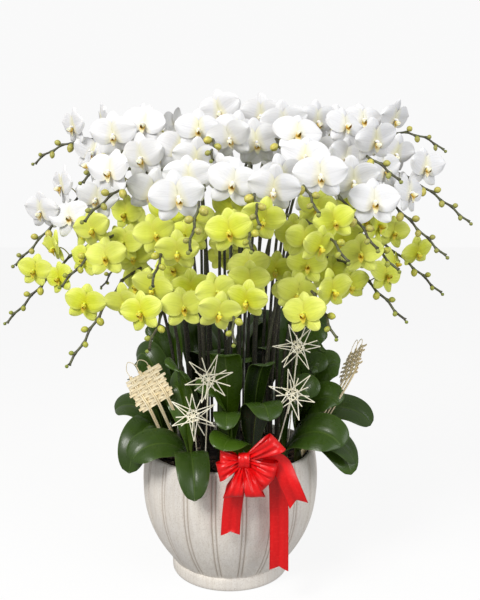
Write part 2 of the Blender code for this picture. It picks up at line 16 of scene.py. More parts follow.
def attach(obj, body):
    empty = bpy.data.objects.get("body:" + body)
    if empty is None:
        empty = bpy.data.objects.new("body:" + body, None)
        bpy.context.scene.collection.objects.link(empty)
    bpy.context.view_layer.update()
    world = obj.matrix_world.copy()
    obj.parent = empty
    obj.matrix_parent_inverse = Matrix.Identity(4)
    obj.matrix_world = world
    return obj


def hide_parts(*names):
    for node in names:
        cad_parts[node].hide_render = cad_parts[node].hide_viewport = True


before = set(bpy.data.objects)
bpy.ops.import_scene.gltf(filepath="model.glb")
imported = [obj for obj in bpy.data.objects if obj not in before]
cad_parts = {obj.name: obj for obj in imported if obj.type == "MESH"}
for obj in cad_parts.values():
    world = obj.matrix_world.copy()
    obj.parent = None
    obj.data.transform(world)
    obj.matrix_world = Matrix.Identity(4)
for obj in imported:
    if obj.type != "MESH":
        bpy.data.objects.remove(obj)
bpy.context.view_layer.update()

UP = Vector((0.0, 0.0, 1.0))
FRONT = Vector((0.0, -1.0, 0.0))

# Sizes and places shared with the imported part

POT_HEIGHT = 0.284
POT_WIDEST_RADIUS = 0.200
POT_WIDEST_HEIGHT = 0.211
POT_RIM_RADIUS = 0.192
POT_FOOT_RADIUS = 0.133
POT_FOOT_HEIGHT = 0.030
POT_WALL = 0.012
POT_FLOOR = 0.016
POT_SIDE_POWER = 2.2
LOBES = 20
MEDIUM_TOP = 0.262
PLANT_FOOT = MEDIUM_TOP + 0.0003
STEM_FOOT_RADIUS = 0.0034
STEM_TIP_RADIUS = 0.0014
FLOWER_DEPTH = 0.012
BUD_PITCH = 0.026

Variety = namedtuple("Variety", "petal_radius pitch reach_out reach_side bud_length")
WHITE = Variety(petal_radius=0.047, pitch=0.034, reach_out=0.022, reach_side=0.034, bud_length=0.026)
YELLOW = Variety(petal_radius=0.039, pitch=0.031, reach_out=0.020, reach_side=0.029, bud_length=0.023)

# A spike's foot, crest and tip, then how many open flowers and buds it has
Spike = namedtuple("Spike", "foot crest tip flowers buds")
WHITE_SPIKES = (
    Spike((-0.070, 0.050), (-0.140, 0.090, 0.985), (-0.460, 0.100, 0.930), 6, 5),
    Spike((-0.050, 0.000), (-0.100, -0.030, 0.970), (-0.280, -0.200, 0.865), 4, 5),
    Spike((-0.060, -0.040), (-0.085, -0.100, 0.900), (-0.260, -0.280, 0.790), 5, 5),
    Spike((-0.090, 0.010), (-0.200, -0.030, 0.905), (-0.455, -0.080, 0.700), 5, 5),
    Spike((-0.025, -0.055), (-0.025, -0.150, 0.900), (-0.060, -0.420, 0.740), 5, 5),
    Spike((0.020, -0.060), (0.035, -0.140, 0.905), (0.052, -0.410, 0.780), 5, 4),
    Spike((0.055, -0.050), (0.085, -0.120, 0.905), (0.150, -0.390, 0.800), 5, 4),
    Spike((0.082, -0.025), (0.140, -0.110, 0.900), (0.260, -0.330, 0.740), 6, 4),
    Spike((0.105, 0.005), (0.190, -0.050, 0.910), (0.445, -0.120, 0.720), 5, 6),
    Spike((0.095, 0.040), (0.210, 0.030, 0.945), (0.525, -0.020, 0.790), 6, 6),
    Spike((0.075, 0.075), (0.190, 0.120, 0.985), (0.515, 0.150, 0.965), 6, 6),
    Spike((0.050, 0.000), (0.130, -0.040, 0.965), (0.320, -0.230, 0.865), 5, 4),
    Spike((0.030, 0.040), (0.060, -0.010, 0.985), (0.110, -0.250, 0.890), 5, 4),
    Spike((-0.010, 0.015), (-0.020, -0.010, 0.985), (-0.030, -0.260, 0.900), 5, 4),
    Spike((-0.045, 0.085), (-0.120, 0.150, 0.995), (-0.310, 0.360, 0.900), 6, 5),
    Spike((0.040, 0.095), (0.110, 0.160, 0.985), (0.300, 0.370, 0.890), 6, 5),
)
YELLOW_SPIKES = (
    Spike((-0.110, -0.030), (-0.240, -0.070, 0.760), (-0.470, -0.100, 0.580), 6, 5),
    Spike((-0.085, -0.050), (-0.160, -0.120, 0.790), (-0.310, -0.260, 0.670), 5, 4),
    Spike((-0.092, -0.075), (-0.165, -0.165, 0.700), (-0.290, -0.300, 0.530), 6, 5),
    Spike((-0.060, -0.075), (-0.085, -0.170, 0.790), (-0.125, -0.390, 0.680), 6, 4),
    Spike((-0.050, -0.100), (-0.075, -0.190, 0.690), (-0.135, -0.370, 0.570), 6, 3),
    Spike((-0.005, -0.110), (0.005, -0.210, 0.700), (0.012, -0.430, 0.590), 6, 3),
    Spike((0.065, -0.100), (0.120, -0.190, 0.690), (0.185, -0.370, 0.590), 6, 3),
    Spike((0.105, -0.065), (0.190, -0.125, 0.720), (0.340, -0.220, 0.600), 6, 4),
    Spike((0.125, -0.020), (0.250, -0.050, 0.770), (0.450, -0.080, 0.640), 6, 4),
    Spike((0.086, -0.080), (0.165, -0.130, 0.800), (0.310, -0.280, 0.700), 6, 3),
    Spike((0.045, -0.085), (0.105, -0.170, 0.800), (0.200, -0.390, 0.720), 6, 3),
    Spike((0.018, -0.090), (0.025, -0.190, 0.800), (0.040, -0.430, 0.740), 6, 3),
    Spike((-0.090, 0.080), (-0.180, 0.150, 0.780), (-0.350, 0.300, 0.620), 6, 4),
    Spike((0.090, 0.090), (0.180, 0.150, 0.780), (0.350, 0.300, 0.620), 6, 4),
    Spike((0.000, 0.110), (0.000, 0.220, 0.780), (0.000, 0.430, 0.620), 6, 4),
)

# A leaf's tip, how far it rises before it bends, its width, and its roll in degrees. The lower leaves of a
# spray share one foot, and its upper leaf grows just above them.
Leaf = namedtuple("Leaf", "tip rise width roll", defaults=(0,))
Spray = namedtuple("Spray", "foot lower upper", defaults=((),))
LEAF_SPRAYS = (
    Spray(
        (-0.085, -0.128),
        (Leaf((-0.066, -0.241, 0.247), 0.062, 0.068), Leaf((-0.200, -0.165, 0.300), 0.070, 0.078, -35)),
    ),
    Spray(
        (-0.150, -0.020),
        (Leaf((-0.212, -0.130, 0.262), 0.095, 0.080, -20), Leaf((-0.262, -0.010, 0.365), 0.110, 0.085, -25)),
    ),
    Spray((0.022, -0.152), (Leaf((-0.010, -0.264, 0.356), 0.095, 0.074, -15),)),
    Spray(
        (-0.002, -0.132),
        (Leaf((-0.004, -0.250, 0.392), 0.145, 0.054),),
        (Leaf((-0.010, -0.172, 0.520), 0.215, 0.066),),
    ),
    Spray(
        (0.048, -0.136),
        (Leaf((0.078, -0.244, 0.408), 0.165, 0.074),),
        (Leaf((0.076, -0.170, 0.500), 0.200, 0.066),),
    ),
    Spray((0.118, -0.123), (Leaf((0.228, -0.180, 0.335), 0.095, 0.088, 42),)),
    Spray((0.150, -0.062), (Leaf((0.256, -0.138, 0.262), 0.075, 0.076, 25),)),
    Spray(
        (0.160, 0.015),
        (Leaf((0.320, -0.010, 0.330), 0.110, 0.080, 35), Leaf((0.226, 0.125, 0.390), 0.110, 0.070)),
    ),
    Spray(
        (0.125, 0.055),
        (Leaf((0.228, 0.062, 0.550), 0.260, 0.070, 48), Leaf((0.178, 0.180, 0.490), 0.205, 0.066)),
    ),
    Spray(
        (0.070, 0.138),
        (Leaf((0.170, 0.240, 0.320), 0.090, 0.078), Leaf((0.050, 0.240, 0.510), 0.210, 0.080)),
    ),
    Spray(
        (-0.080, 0.135),
        (Leaf((-0.070, 0.235, 0.500), 0.205, 0.080), Leaf((-0.210, 0.200, 0.340), 0.095, 0.078)),
    ),
    Spray(
        (-0.135, 0.065),
        (Leaf((-0.245, 0.110, 0.410), 0.135, 0.074), Leaf((-0.154, 0.212, 0.420), 0.145, 0.060)),
    ),
    Spray(
        (0.000, 0.148),
        (Leaf((0.085, 0.165, 0.550), 0.262, 0.064, 20), Leaf((-0.085, 0.165, 0.530), 0.250, 0.064, -20)),
    ),
)
LEAF_SHOULDER = 0.80
LEAF_SHEATH = 0.18
LEAF_FULL = 0.50
LEAF_ROUNDING = 0.38
LEAF_PAIR_RISE = 0.014

# Further leaves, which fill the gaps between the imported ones. Each grows from the foot of its numbered spray.
FILLER_LEAVES = {
    1: (Leaf((-0.112, -0.162, 0.490), 0.190, 0.072, -30), Leaf((-0.125, -0.095, 0.440), 0.150, 0.070, -60)),
    2: (Leaf((-0.215, 0.020, 0.480), 0.200, 0.072, -45), Leaf((-0.170, -0.085, 0.390), 0.120, 0.066, -50)),
    4: (Leaf((-0.052, -0.168, 0.440), 0.160, 0.070, -35),),
    6: (Leaf((0.165, -0.158, 0.430), 0.160, 0.074, 50), Leaf((0.262, -0.150, 0.290), 0.075, 0.070, 30)),
    7: (Leaf((0.235, -0.090, 0.400), 0.130, 0.074, 45), Leaf((0.190, -0.090, 0.470), 0.190, 0.072, 50)),
    8: (Leaf((0.256, 0.040, 0.462), 0.168, 0.074, 45), Leaf((0.215, 0.020, 0.520), 0.220, 0.070, 60)),
    9: (Leaf((0.150, 0.100, 0.560), 0.270, 0.070, 65), Leaf((0.185, 0.030, 0.440), 0.150, 0.074, 60)),
    10: (
        Leaf((0.110, 0.200, 0.560), 0.265, 0.080),
        Leaf((0.160, 0.215, 0.450), 0.165, 0.080),
        Leaf((0.112, 0.050, 0.490), 0.200, 0.085),
    ),
    11: (
        Leaf((-0.130, 0.200, 0.540), 0.245, 0.080),
        Leaf((-0.020, 0.240, 0.420), 0.140, 0.080),
        Leaf((-0.045, 0.050, 0.480), 0.190, 0.085),
    ),
    12: (Leaf((-0.190, 0.060, 0.520), 0.220, 0.074, -55), Leaf((-0.140, 0.130, 0.560), 0.260, 0.070, -60)),
    13: (
        Leaf((-0.010, 0.210, 0.480), 0.180, 0.084),
        Leaf((0.030, 0.160, 0.420), 0.150, 0.080),
        Leaf((0.030, 0.060, 0.460), 0.170, 0.085),
    ),
}

RIBBON_WIDTH = 0.038
BOW_KNOT = Vector((0.030, -0.246, 0.331))
KNOT_RADIUS = 0.014
# A loop's reach from the knot to its end, its width, and how far its two sides stand apart
BowLoop = namedtuple("BowLoop", "reach width fullness")
BOW_LOOPS = (
    BowLoop((0.066, 0.000, 0.038), 0.040, 0.024),
    BowLoop((0.062, -0.006, -0.018), 0.036, 0.020),
    BowLoop((-0.050, -0.004, -0.022), 0.036, 0.016),
    BowLoop((-0.022, -0.012, -0.068), 0.034, 0.018),
    BowLoop((0.022, -0.012, -0.068), 0.036, 0.018),
)
# The route of each tail, from below the knot to its cut end
RIBBON_TAILS = {
    "ribbon_tail_left": ((0.012, -0.232, 0.262), (0.006, -0.228, 0.215), (0.003, -0.222, 0.168)),
    "ribbon_tail_right": (
        (0.094, -0.226, 0.290),
        (0.100, -0.218, 0.220),
        (0.101, -0.212, 0.150),
        (0.101, -0.209, 0.088),
    ),
    "ribbon_tail_short": ((0.098, -0.240, 0.322), (0.118, -0.246, 0.285), (0.137, -0.246, 0.240)),
}
NOTCH_DEPTH = 0.012
BOW_PICK_FOOT = Vector((0.030, -0.160, PLANT_FOOT))
STICK_RADIUS = 0.0020
STICK_FOOT = PLANT_FOOT + STICK_RADIUS

# Each star's middle, and the foot of its stick
STRAW_STARS = (
    (Vector((-0.040, -0.200, 0.480)), Vector((-0.052, -0.128, STICK_FOOT))),
    (Vector((-0.071, -0.195, 0.404)), Vector((-0.066, -0.100, STICK_FOOT))),
    (Vector((0.126, -0.200, 0.450)), Vector((0.085, -0.125, STICK_FOOT))),
    (Vector((0.140, -0.150, 0.536)), Vector((0.122, -0.088, STICK_FOOT))),
)
STAR_RADIUS = 0.055

# A fan's middle, the way its slats run, the way down across them, and where its handle stands
Fan = namedtuple("Fan", "centre slat stack foot")
FANS = {
    "woven_fan_left": Fan(
        centre=(-0.166, -0.130, 0.445),
        slat=(0.80, -0.20, 0.52),
        stack=(0.48, -0.10, -0.86),
        foot=(-0.100, -0.050),
    ),
    "woven_fan_right": Fan(
        centre=(0.267, -0.052, 0.480),
        slat=(0.30, -0.75, 0.45),
        stack=(-0.45, -0.05, -0.88),
        foot=(0.158, -0.024),
    ),
}
FAN_WIDTH = 0.080
FAN_HEIGHT = 0.072
FAN_HANDLE_SPREAD = 0.024

# Each stake's foot, and the height of its top
SUPPORT_STAKES = (
    (Vector((0.000, -0.030, PLANT_FOOT)), 0.860),
    (Vector((0.035, -0.030, PLANT_FOOT)), 0.860),
    (Vector((-0.120, 0.020, PLANT_FOOT)), 0.700),
)


# Materials

NOISE_ROUGHNESS = 0.55
# The colour sockets of a Mix node, which come after those for numbers and vectors
MIX_UNDER, MIX_OVER, MIX_RESULT = 6, 7, 2


def shade(red, green, blue):
    """A colour given as it shows on a screen, from 0 to 255, as the shader's own linear values."""
    return tuple((value / 255) ** 2.2 for value in (red, green, blue)) + (1.0,)


class Look:
    """A procedural material: a Principled shader, and a colour laid on in layers over a first one."""

    def __init__(self, name, colour, **sockets):
        self.colour = colour
        self.material = bpy.data.materials.new(name)
        self.material.use_nodes = True
        self.tree = self.material.node_tree
        self.shader = self.tree.nodes["Principled BSDF"]
        self.set(**sockets)

    def set(self, **sockets):
        """Sets or links the shader's inputs, named with _ for a space."""
        for name, value in sockets.items():
            self.feed(self.shader.inputs[name.replace("_", " ")], value)

    def feed(self, socket, value):
        """Links a node's output to an input, or sets the input to a plain value. None leaves it alone."""
        if isinstance(value, bpy.types.NodeSocket):
            self.tree.links.new(value, socket)
        elif value is not None:
            socket.default_value = value

    def node(self, kind, *values, out=0, **settings):
        """A new node with its inputs fed in order. It gives back one of its outputs."""
        made = self.tree.nodes.new("ShaderNode" + kind)
        for name, value in settings.items():
            setattr(made, name, value)
        for socket, value in zip(made.inputs, values):
            self.feed(socket, value)
        return made.outputs[out]

    def place(self):
        """The point's place in the object, in metres."""
        return self.node("TexCoord", out=3)

    def marks(self):
        """Where a point lies on its part: along it, across it, and 1 on its back."""
        return self.node("Attribute", attribute_name="marks", out=1)

    def parts(self):
        """The three marks one by one."""
        return self.node("SeparateXYZ", self.marks()).node.outputs

    def tone(self):
        """One value for each flower, leaf, chip or straw, which sets it apart from its neighbours."""
        return self.node("Attribute", attribute_name="tone", out=2)

    def scaled(self, vector, *factors):
        return self.node("VectorMath", vector, factors, operation="MULTIPLY")

    def noise(self, vector, scale, detail=2.0):
        return self.node("TexNoise", vector, None, scale, detail, NOISE_ROUGHNESS)

    def own_noise(self, stretch, scale, detail=2.0):
        """Noise stretched along and across a part, with a pattern of its own on each flower or leaf."""
        marks = self.scaled(self.marks(), *stretch, 0.0)
        return self.noise(self.node("VectorMath", marks, self.tone(), operation="ADD"), scale, detail)

    def math(self, operation, first, second=0.0):
        return self.node("Math", first, second, operation=operation)

    def ranged(self, value, low, high, to_low=0.0, to_high=1.0):
        """The value stretched from one range to another, and held inside it."""
        return self.node("MapRange", value, low, high, to_low, to_high)

    def layer(self, colour, value, low=0.0, high=1.0, to_low=0.0, to_high=1.0):
        """Lays a colour over the one so far, as strongly as the ranged value says."""
        mix = self.tree.nodes.new("ShaderNodeMix")
        mix.data_type = "RGBA"
        self.feed(mix.inputs[0], self.ranged(value, low, high, to_low, to_high))
        self.feed(mix.inputs[MIX_UNDER], self.colour)
        self.feed(mix.inputs[MIX_OVER], colour)
        self.colour = mix.outputs[MIX_RESULT]

    def bump(self, height, strength, distance):
        return self.node("Bump", strength, distance, None, height)

    def done(self, **sockets):
        self.set(Base_Color=self.colour, **sockets)
        return self.material


def petal_look(name, face, edge, centre, back, vein, deep):
    """A petal: a stained throat, a paler margin, fine veins out from the throat, and a duller back."""
    look = Look(name, face, Roughness=0.5, Specular_IOR_Level=0.3)
    look.set(Subsurface_Weight=0.2, Subsurface_Scale=0.004, Subsurface_Radius=(1.0, 0.9, 0.8))
    along, across, behind = look.parts()
    away = look.math("ABSOLUTE", across)
    streaks = look.own_noise((1.3, 7.0), 1.6)
    patches = look.own_noise((1.6, 1.4), 1.2)
    own = look.math("FRACT", look.math("MULTIPLY", look.tone(), 3.7))
    look.layer(edge, along, 0.45, 1.0)
    look.layer(edge, away, 0.6, 1.0, 0.0, 0.8)
    look.layer(vein, streaks, 0.48, 0.66, 0.0, 0.45)
    look.layer(deep, patches, 0.45, 0.75, 0.0, 0.35)
    look.layer(vein, away, 0.0, 0.07, 0.42, 0.0)
    look.layer(centre, along, 0.02, 0.34, 0.85, 0.0)
    look.layer(back, behind, to_high=0.75)
    look.layer(edge, own, to_high=0.4)
    return look.done(Normal=look.bump(streaks, 0.35, 0.0012))


def lip_look(name, throat, tip, stain):
    """The lip: a golden throat with red-brown stripes and dots, fading to its tip."""
    look = Look(name, throat, Roughness=0.42, Subsurface_Weight=0.1, Subsurface_Scale=0.002)
    along = look.parts()[0]
    dots = look.own_noise((3.0, 4.0), 2.4)
    stained = look.math("MULTIPLY", look.ranged(dots, 0.46, 0.56), look.ranged(along, 0.1, 0.7, 0.95, 0.0))
    look.layer(tip, along, 0.35, 0.95)
    look.layer(stain, stained)
    return look.done(Normal=look.bump(dots, 0.3, 0.0008))


def stem_look():
    """A spike's stem: near black at its foot, dull green higher up, and blotched and freckled all over."""
    look = Look("stem_skin", shade(18, 22, 14), Roughness=0.5)
    blotches = look.noise(look.scaled(look.place(), 90.0, 90.0, 22.0), 1.0, 3.0)
    fine = look.noise(look.place(), 420.0)
    look.layer(shade(88, 92, 66), look.parts()[0], 0.30, 0.75)
    look.layer(shade(50, 42, 38), blotches, 0.42, 0.60, 0.0, 0.8)
    look.layer(shade(150, 150, 110), fine, 0.5, 0.7, 0.0, 0.3)
    return look.done(Normal=look.bump(fine, 0.3, 0.0006))


def bud_look(name, ripe, green):
    """A bud and its stalk: hard green while small, and riper and freckled towards the open flowers."""
    look = Look(name, green, Roughness=0.4, Subsurface_Weight=0.08, Subsurface_Scale=0.002)
    along, across, _ = look.parts()
    freckles = look.noise(look.place(), 260.0, 3.0)
    clouds = look.noise(look.place(), 60.0)
    seams = look.math("ABSOLUTE", look.math("SINE", look.math("MULTIPLY", across, 3 * math.pi)))
    look.layer(ripe, look.tone())
    look.layer(shade(112, 122, 64), along, 0.15, 0.5, 0.75, 0.0)
    look.layer(green, clouds, 0.45, 0.7, 0.0, 0.55)
    look.layer(shade(140, 98, 62), freckles, 0.56, 0.7, 0.0, 0.4)
    look.layer(shade(96, 104, 44), seams, 0.0, 0.25, 0.35, 0.0)
    return look.done(Normal=look.bump(seams, 0.4, 0.0008))


def leaf_look():
    """A leaf: dark and glossy, with a painted highlight along its crease, a pale margin, lengthwise veins and a
    duller back.
    """
    look = Look("leaf_skin", shade(13, 21, 4), Specular_IOR_Level=0.3, Coat_Weight=0.14, Coat_Roughness=0.14)
    along, across, behind = look.parts()
    away = look.math("ABSOLUTE", across)
    veins = look.own_noise((0.7, 11.0), 1.9, 3.0)
    clouds = look.own_noise((2.2, 1.2), 1.3, 3.0)
    dust = look.noise(look.place(), 70.0, 4.0)
    look.layer(shade(33, 48, 9), clouds, 0.35, 0.7)
    look.layer(shade(66, 92, 14), look.tone(), 0.45, 1.0, 0.0, 0.8)
    look.layer(shade(60, 86, 26), veins, 0.5, 0.72, 0.0, 0.4)
    # Painted highlight: a pale line along the crease.
    look.layer(shade(104, 124, 60), away, 0.0, 0.045, 0.6, 0.0)
    look.layer(shade(98, 118, 62), away, 0.93, 1.0, 0.0, 0.5)
    look.layer(shade(120, 130, 70), along, 0.0, 0.12, 0.5, 0.0)
    look.layer(shade(66, 92, 34), behind, to_high=0.5)
    rough = look.ranged(dust, 0.3, 0.7, 0.22, 0.40)
    return look.done(Roughness=rough, Normal=look.bump(veins, 0.25, 0.0014))


def pot_look():
    """Matt stone glaze: warm grey, brushed downwards, finely speckled, and darkened down in the grooves by
    painted shade.
    """
    look = Look("stone_glaze_fine", shade(240, 234, 225), Specular_IOR_Level=0.35)
    brushed = look.noise(look.scaled(look.place(), 150.0, 150.0, 9.0), 1.0, 4.0)
    speckles = look.noise(look.place(), 620.0)
    clouds = look.noise(look.place(), 13.0, 3.0)
    groove = look.parts()[1]
    look.layer(shade(228, 223, 217), clouds, 0.35, 0.7)
    look.layer(shade(214, 205, 193), brushed, 0.42, 0.68, 0.0, 0.45)
    look.layer(shade(172, 160, 146), speckles, 0.55, 0.68, 0.0, 0.6)
    look.layer(shade(252, 248, 242), speckles, 0.30, 0.40, 0.6, 0.0)
    # Painted shade: the glaze is darker down in the grooves.
    look.layer(shade(158, 142, 124), groove, to_high=0.6)
    grain = look.math("ADD", brushed, look.math("MULTIPLY", speckles, 0.6))
    rough = look.ranged(speckles, 0.3, 0.7, 0.55, 0.78)
    return look.done(Roughness=rough, Normal=look.bump(grain, 0.35, 0.0012))


def bark_look():
    """Bark chips: each of its own brown, a few of them pale, with a fibrous grain."""
    look = Look("bark_chips", shade(34, 24, 20), Roughness=0.85)
    fibres = look.noise(look.scaled(look.place(), 300.0, 90.0, 220.0), 1.0, 4.0)
    look.layer(shade(104, 78, 60), look.tone())
    look.layer(shade(176, 160, 140), look.tone(), 0.86, 0.92)
    look.layer(shade(30, 20, 16), fibres, 0.4, 0.65, 0.0, 0.6)
    return look.done(Normal=look.bump(fibres, 0.7, 0.002))


def satin_look():
    """Red satin ribbon: fine cross threads, a woven edge and a soft sheen."""
    look = Look("red_satin_weave", shade(204, 6, 14), Roughness=0.32, Specular_IOR_Level=0.4)
    look.set(Sheen_Weight=0.25, Sheen_Roughness=0.3, Sheen_Tint=shade(255, 120, 110))
    away = look.math("ABSOLUTE", look.parts()[1])
    threads = look.noise(look.scaled(look.marks(), 260.0, 3.0, 0.0), 1.0)
    clouds = look.noise(look.scaled(look.marks(), 3.0, 1.5, 0.0), 1.0)
    look.layer(shade(232, 20, 24), clouds, 0.35, 0.7)
    look.layer(shade(250, 58, 52), threads, 0.5, 0.7, 0.0, 0.25)
    look.layer(shade(150, 4, 12), away, 0.93, 0.97, 0.0, 0.5)
    return look.done(Normal=look.bump(threads, 0.2, 0.0005))


def reed_look(name, pale, dark, knot, rough):
    """Straw or bamboo: long fibres, browner stretches and dull cut ends."""
    look = Look(name, pale, Roughness=rough)
    fibres = look.own_noise((2.0, 9.0), 3.0, 3.0)
    stains = look.own_noise((3.0, 0.4), 1.7)
    from_middle = look.math("ABSOLUTE", look.math("SUBTRACT", look.parts()[0], 0.5))
    look.layer(dark, stains, 0.35, 0.7)
    look.layer(knot, fibres, 0.5, 0.7, 0.0, 0.4)
    look.layer(knot, from_middle, 0.485, 0.5, 0.0, 0.5)
    return look.done(Normal=look.bump(fibres, 0.45, 0.0008))


def wire_look():
    """Green-grey painted wire, worn through in places."""
    look = Look("painted_wire", shade(98, 104, 98))
    wear = look.noise(look.scaled(look.place(), 120.0, 120.0, 40.0), 1.0, 4.0)
    look.layer(shade(168, 170, 166), wear, 0.48, 0.62)
    rough = look.ranged(wear, 0.4, 0.7, 0.38, 0.6)
    return look.done(Roughness=rough, Normal=look.bump(wear, 0.2, 0.0004))


LOOKS = {
    "white_petal": petal_look(
        "white_petal",
        face=shade(229, 229, 232),
        edge=shade(238, 238, 239),
        centre=shade(236, 230, 170),
        back=shade(214, 214, 212),
        vein=shade(206, 206, 210),
        deep=shade(220, 220, 224),
    ),
    "yellow_petal": petal_look(
        "yellow_petal",
        face=shade(212, 221, 62),
        edge=shade(230, 236, 124),
        centre=shade(202, 198, 22),
        back=shade(196, 204, 84),
        vein=shade(184, 196, 40),
        deep=shade(194, 208, 42),
    ),
    "white_lip": lip_look("white_lip", shade(238, 206, 60), shade(250, 246, 222), shade(196, 112, 34)),
    "yellow_lip": lip_look("yellow_lip", shade(226, 194, 36), shade(224, 212, 72), shade(186, 110, 28)),
    "white_bud": bud_look("white_bud", shade(206, 196, 96), shade(140, 146, 74)),
    "yellow_bud": bud_look("yellow_bud", shade(200, 198, 78), shade(134, 146, 60)),
    "stem": stem_look(),
    "leaf": leaf_look(),
    "pot": pot_look(),
    "bark": bark_look(),
    "satin": satin_look(),
    "straw": reed_look(
        "straw_fibre", shade(255, 252, 236), shade(250, 243, 214), shade(232, 216, 172), rough=0.5
    ),
    "bamboo": reed_look(
        "bamboo_slat", shade(255, 243, 210), shade(248, 228, 182), shade(206, 170, 112), rough=0.48
    ),
    "wire": wire_look(),
}


# Mesh building

SHARP_ANGLE = math.radians(62)


class Shape:
    """The parts of one piece. Each has points, marks (along, across, back, tone), faces and a slot."""

    NO_TRIANGLES = np.zeros((0, 3), int)

    def __init__(self):
        self.parts = []

    def add(self, points, marks, quads, triangles=NO_TRIANGLES, slot=0):
        self.parts.append((points, marks, quads, triangles, slot))

    def stamp(self, template, turn, place, tone):
        """Adds a turned and moved copy of another shape."""
        for points, marks, quads, triangles, slot in template.parts:
            toned = marks.copy()
            toned[:, 3] = tone
            self.add(points @ turn.T + place, toned, quads, triangles, slot)

    def piece(self, name, looks, nodes):
        """Makes the object, which rides on the part and stands for the named nodes."""
        first, faces, slots = 0, [], []
        for points, _, quads, triangles, part_slot in self.parts:
            faces += (quads + first).tolist() + (triangles + first).tolist()
            slots += [part_slot] * (len(quads) + len(triangles))
            first += len(points)
        mesh = bpy.data.meshes.new(name)
        mesh.from_pydata(np.concatenate([part[0] for part in self.parts]).tolist(), [], faces)
        marks = np.concatenate([part[1] for part in self.parts])
        for attribute, kind, field, values in (
            ("marks", "FLOAT_VECTOR", "vector", marks[:, :3]),
            ("tone", "FLOAT", "value", marks[:, 3]),
        ):
            mesh.attributes.new(attribute, kind, "POINT").data.foreach_set(field, values.ravel())
        mesh.polygons.foreach_set("material_index", slots)
        mesh.shade_smooth()
        mesh.set_sharp_from_angle(angle=SHARP_ANGLE)
        for look in looks:
            mesh.materials.append(LOOKS[look])
        obj = bpy.data.objects.new(name, mesh)
        bpy.context.scene.collection.objects.link(obj)
        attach(obj, "root")
        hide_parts(*nodes)
        return obj


def unit_rows(vectors):
    lengths = np.linalg.norm(vectors, axis=-1, keepdims=True)
    return vectors / np.maximum(lengths, 1e-12)


def closed_sheet(shape, grid, along, across, thickness, slot=0, tone=0.0, rim=0.35):
    """A thin closed solid over a grid of points, thinner at its rim. Its front faces rows x columns."""
    rows, columns = grid.shape[:2]
    normal = unit_rows(np.cross(np.gradient(grid, axis=0), np.gradient(grid, axis=1)))
    half = np.full((rows, columns, 1), 0.5) * np.asarray(thickness).reshape(-1, 1, 1)
    half[[0, -1]] *= rim
    half[:, [0, -1]] *= rim
    points = np.concatenate([(grid + half * normal).reshape(-1, 3), (grid - half * normal).reshape(-1, 3)])
    count = rows * columns
    index = np.arange(count).reshape(rows, columns)
    a, b, c, d = (part.ravel() for part in (index[:-1, :-1], index[:-1, 1:], index[1:, 1:], index[1:, :-1]))
    loop = np.concatenate([index[0, :-1], index[:-1, -1], index[-1, :0:-1], index[:0:-1, 0]])
    after = np.roll(loop, -1)
    quads = np.concatenate([
        np.stack([a, d, c, b], 1),
        np.stack([a, b, c, d], 1) + count,
        np.stack([loop, after, after + count, loop + count], 1),
    ])  # fmt: skip
    marks = np.zeros((2 * count, 4))
    marks[:, 0] = np.tile(np.broadcast_to(along, (rows, columns)).ravel(), 2)
    marks[:, 1] = np.tile(np.broadcast_to(across, (rows, columns)).ravel(), 2)
    marks[count:, 2] = 1.0
    marks[:, 3] = tone
    shape.add(points, marks, quads, slot=slot)


def ring_faces(rows, sides):
    """Faces of a skin through rings of points, closed at each end by one point that comes after them."""
    count = rows * sides
    index = np.arange(count).reshape(rows, sides)
    beyond = np.roll(index, -1, axis=1)
    quads = np.stack([index[:-1], beyond[:-1], beyond[1:], index[1:]], -1).reshape(-1, 4)
    start = np.stack([np.full(sides, count), beyond[0], index[0]], 1)
    end = np.stack([np.full(sides, count + 1), index[-1], beyond[-1]], 1)
    return quads, np.concatenate([start, end])


def level_ring(radii, angles, heights):
    """Points round the pot's axis."""
    heights = np.broadcast_to(heights, angles.shape)
    return np.stack([radii * np.cos(angles), radii * np.sin(angles), heights], 1)


def tube(shape, path, radii, sides=6, slot=0, tone=0.0, span=(0.0, 1.0)):
    """A closed round tube along a path, with a radius at each of its points."""
    path = np.array([tuple(p) for p in path], float)
    radii = np.broadcast_to(radii, (len(path),))
    travel = unit_rows(np.gradient(path, axis=0))
    across = np.eye(3)[np.abs(travel[0]).argmin()]
    turn = np.linspace(0.0, 2 * math.pi, sides, endpoint=False)
    rings = []
    for place, radius, ahead in zip(path, radii, travel):
        across = across - (across @ ahead) * ahead
        across = across / np.linalg.norm(across)
        beside = np.cross(ahead, across)
        rings.append(place + radius * (np.outer(np.cos(turn), across) + np.outer(np.sin(turn), beside)))
    count = len(path) * sides
    points = np.concatenate(rings + [path[:1], path[-1:]])
    steps = np.concatenate([[0.0], np.cumsum(np.linalg.norm(np.diff(path, axis=0), axis=1))])
    share = span[0] + (span[1] - span[0]) * steps / steps[-1]
    around = np.minimum(np.arange(sides), sides - np.arange(sides))
    marks = np.zeros((count + 2, 4))
    marks[:count, 0] = np.repeat(share, sides)
    marks[count:, 0] = span
    marks[:count, 1] = np.tile(2 * around / sides, len(path))
    marks[:, 3] = tone
    shape.add(points, marks, *ring_faces(len(path), sides), slot)


def bezier(controls, t):
    a, b, c, d = controls
    s = 1.0 - t
    return s ** 3 * a + 3 * s * s * t * b + 3 * s * t * t * c + t ** 3 * d


def smooth_line(route, steps):
    """Evenly stepped points on a smooth curve through a route's points."""
    route = [Vector(p) for p in route]
    ends = [2 * route[0] - route[1]] + route + [2 * route[-1] - route[-2]]
    line = []
    for before, near, far, after in zip(ends, ends[1:], ends[2:], ends[3:]):
        controls = (near, near + (far - before) / 6, far - (after - near) / 6, far)
        line += [bezier(controls, k / steps) for k in range(steps)]
    return line + [route[-1]]


def frame_across(direction, hint):
    """Two unit vectors across a direction, the second one as near to the hint as it can be."""
    first = direction.cross(hint)
    if first.length < 1e-6:
        first = direction.cross(Vector((1.0, 0.0, 0.0)))
    first.normalize()
    return first, first.cross(direction).normalized()


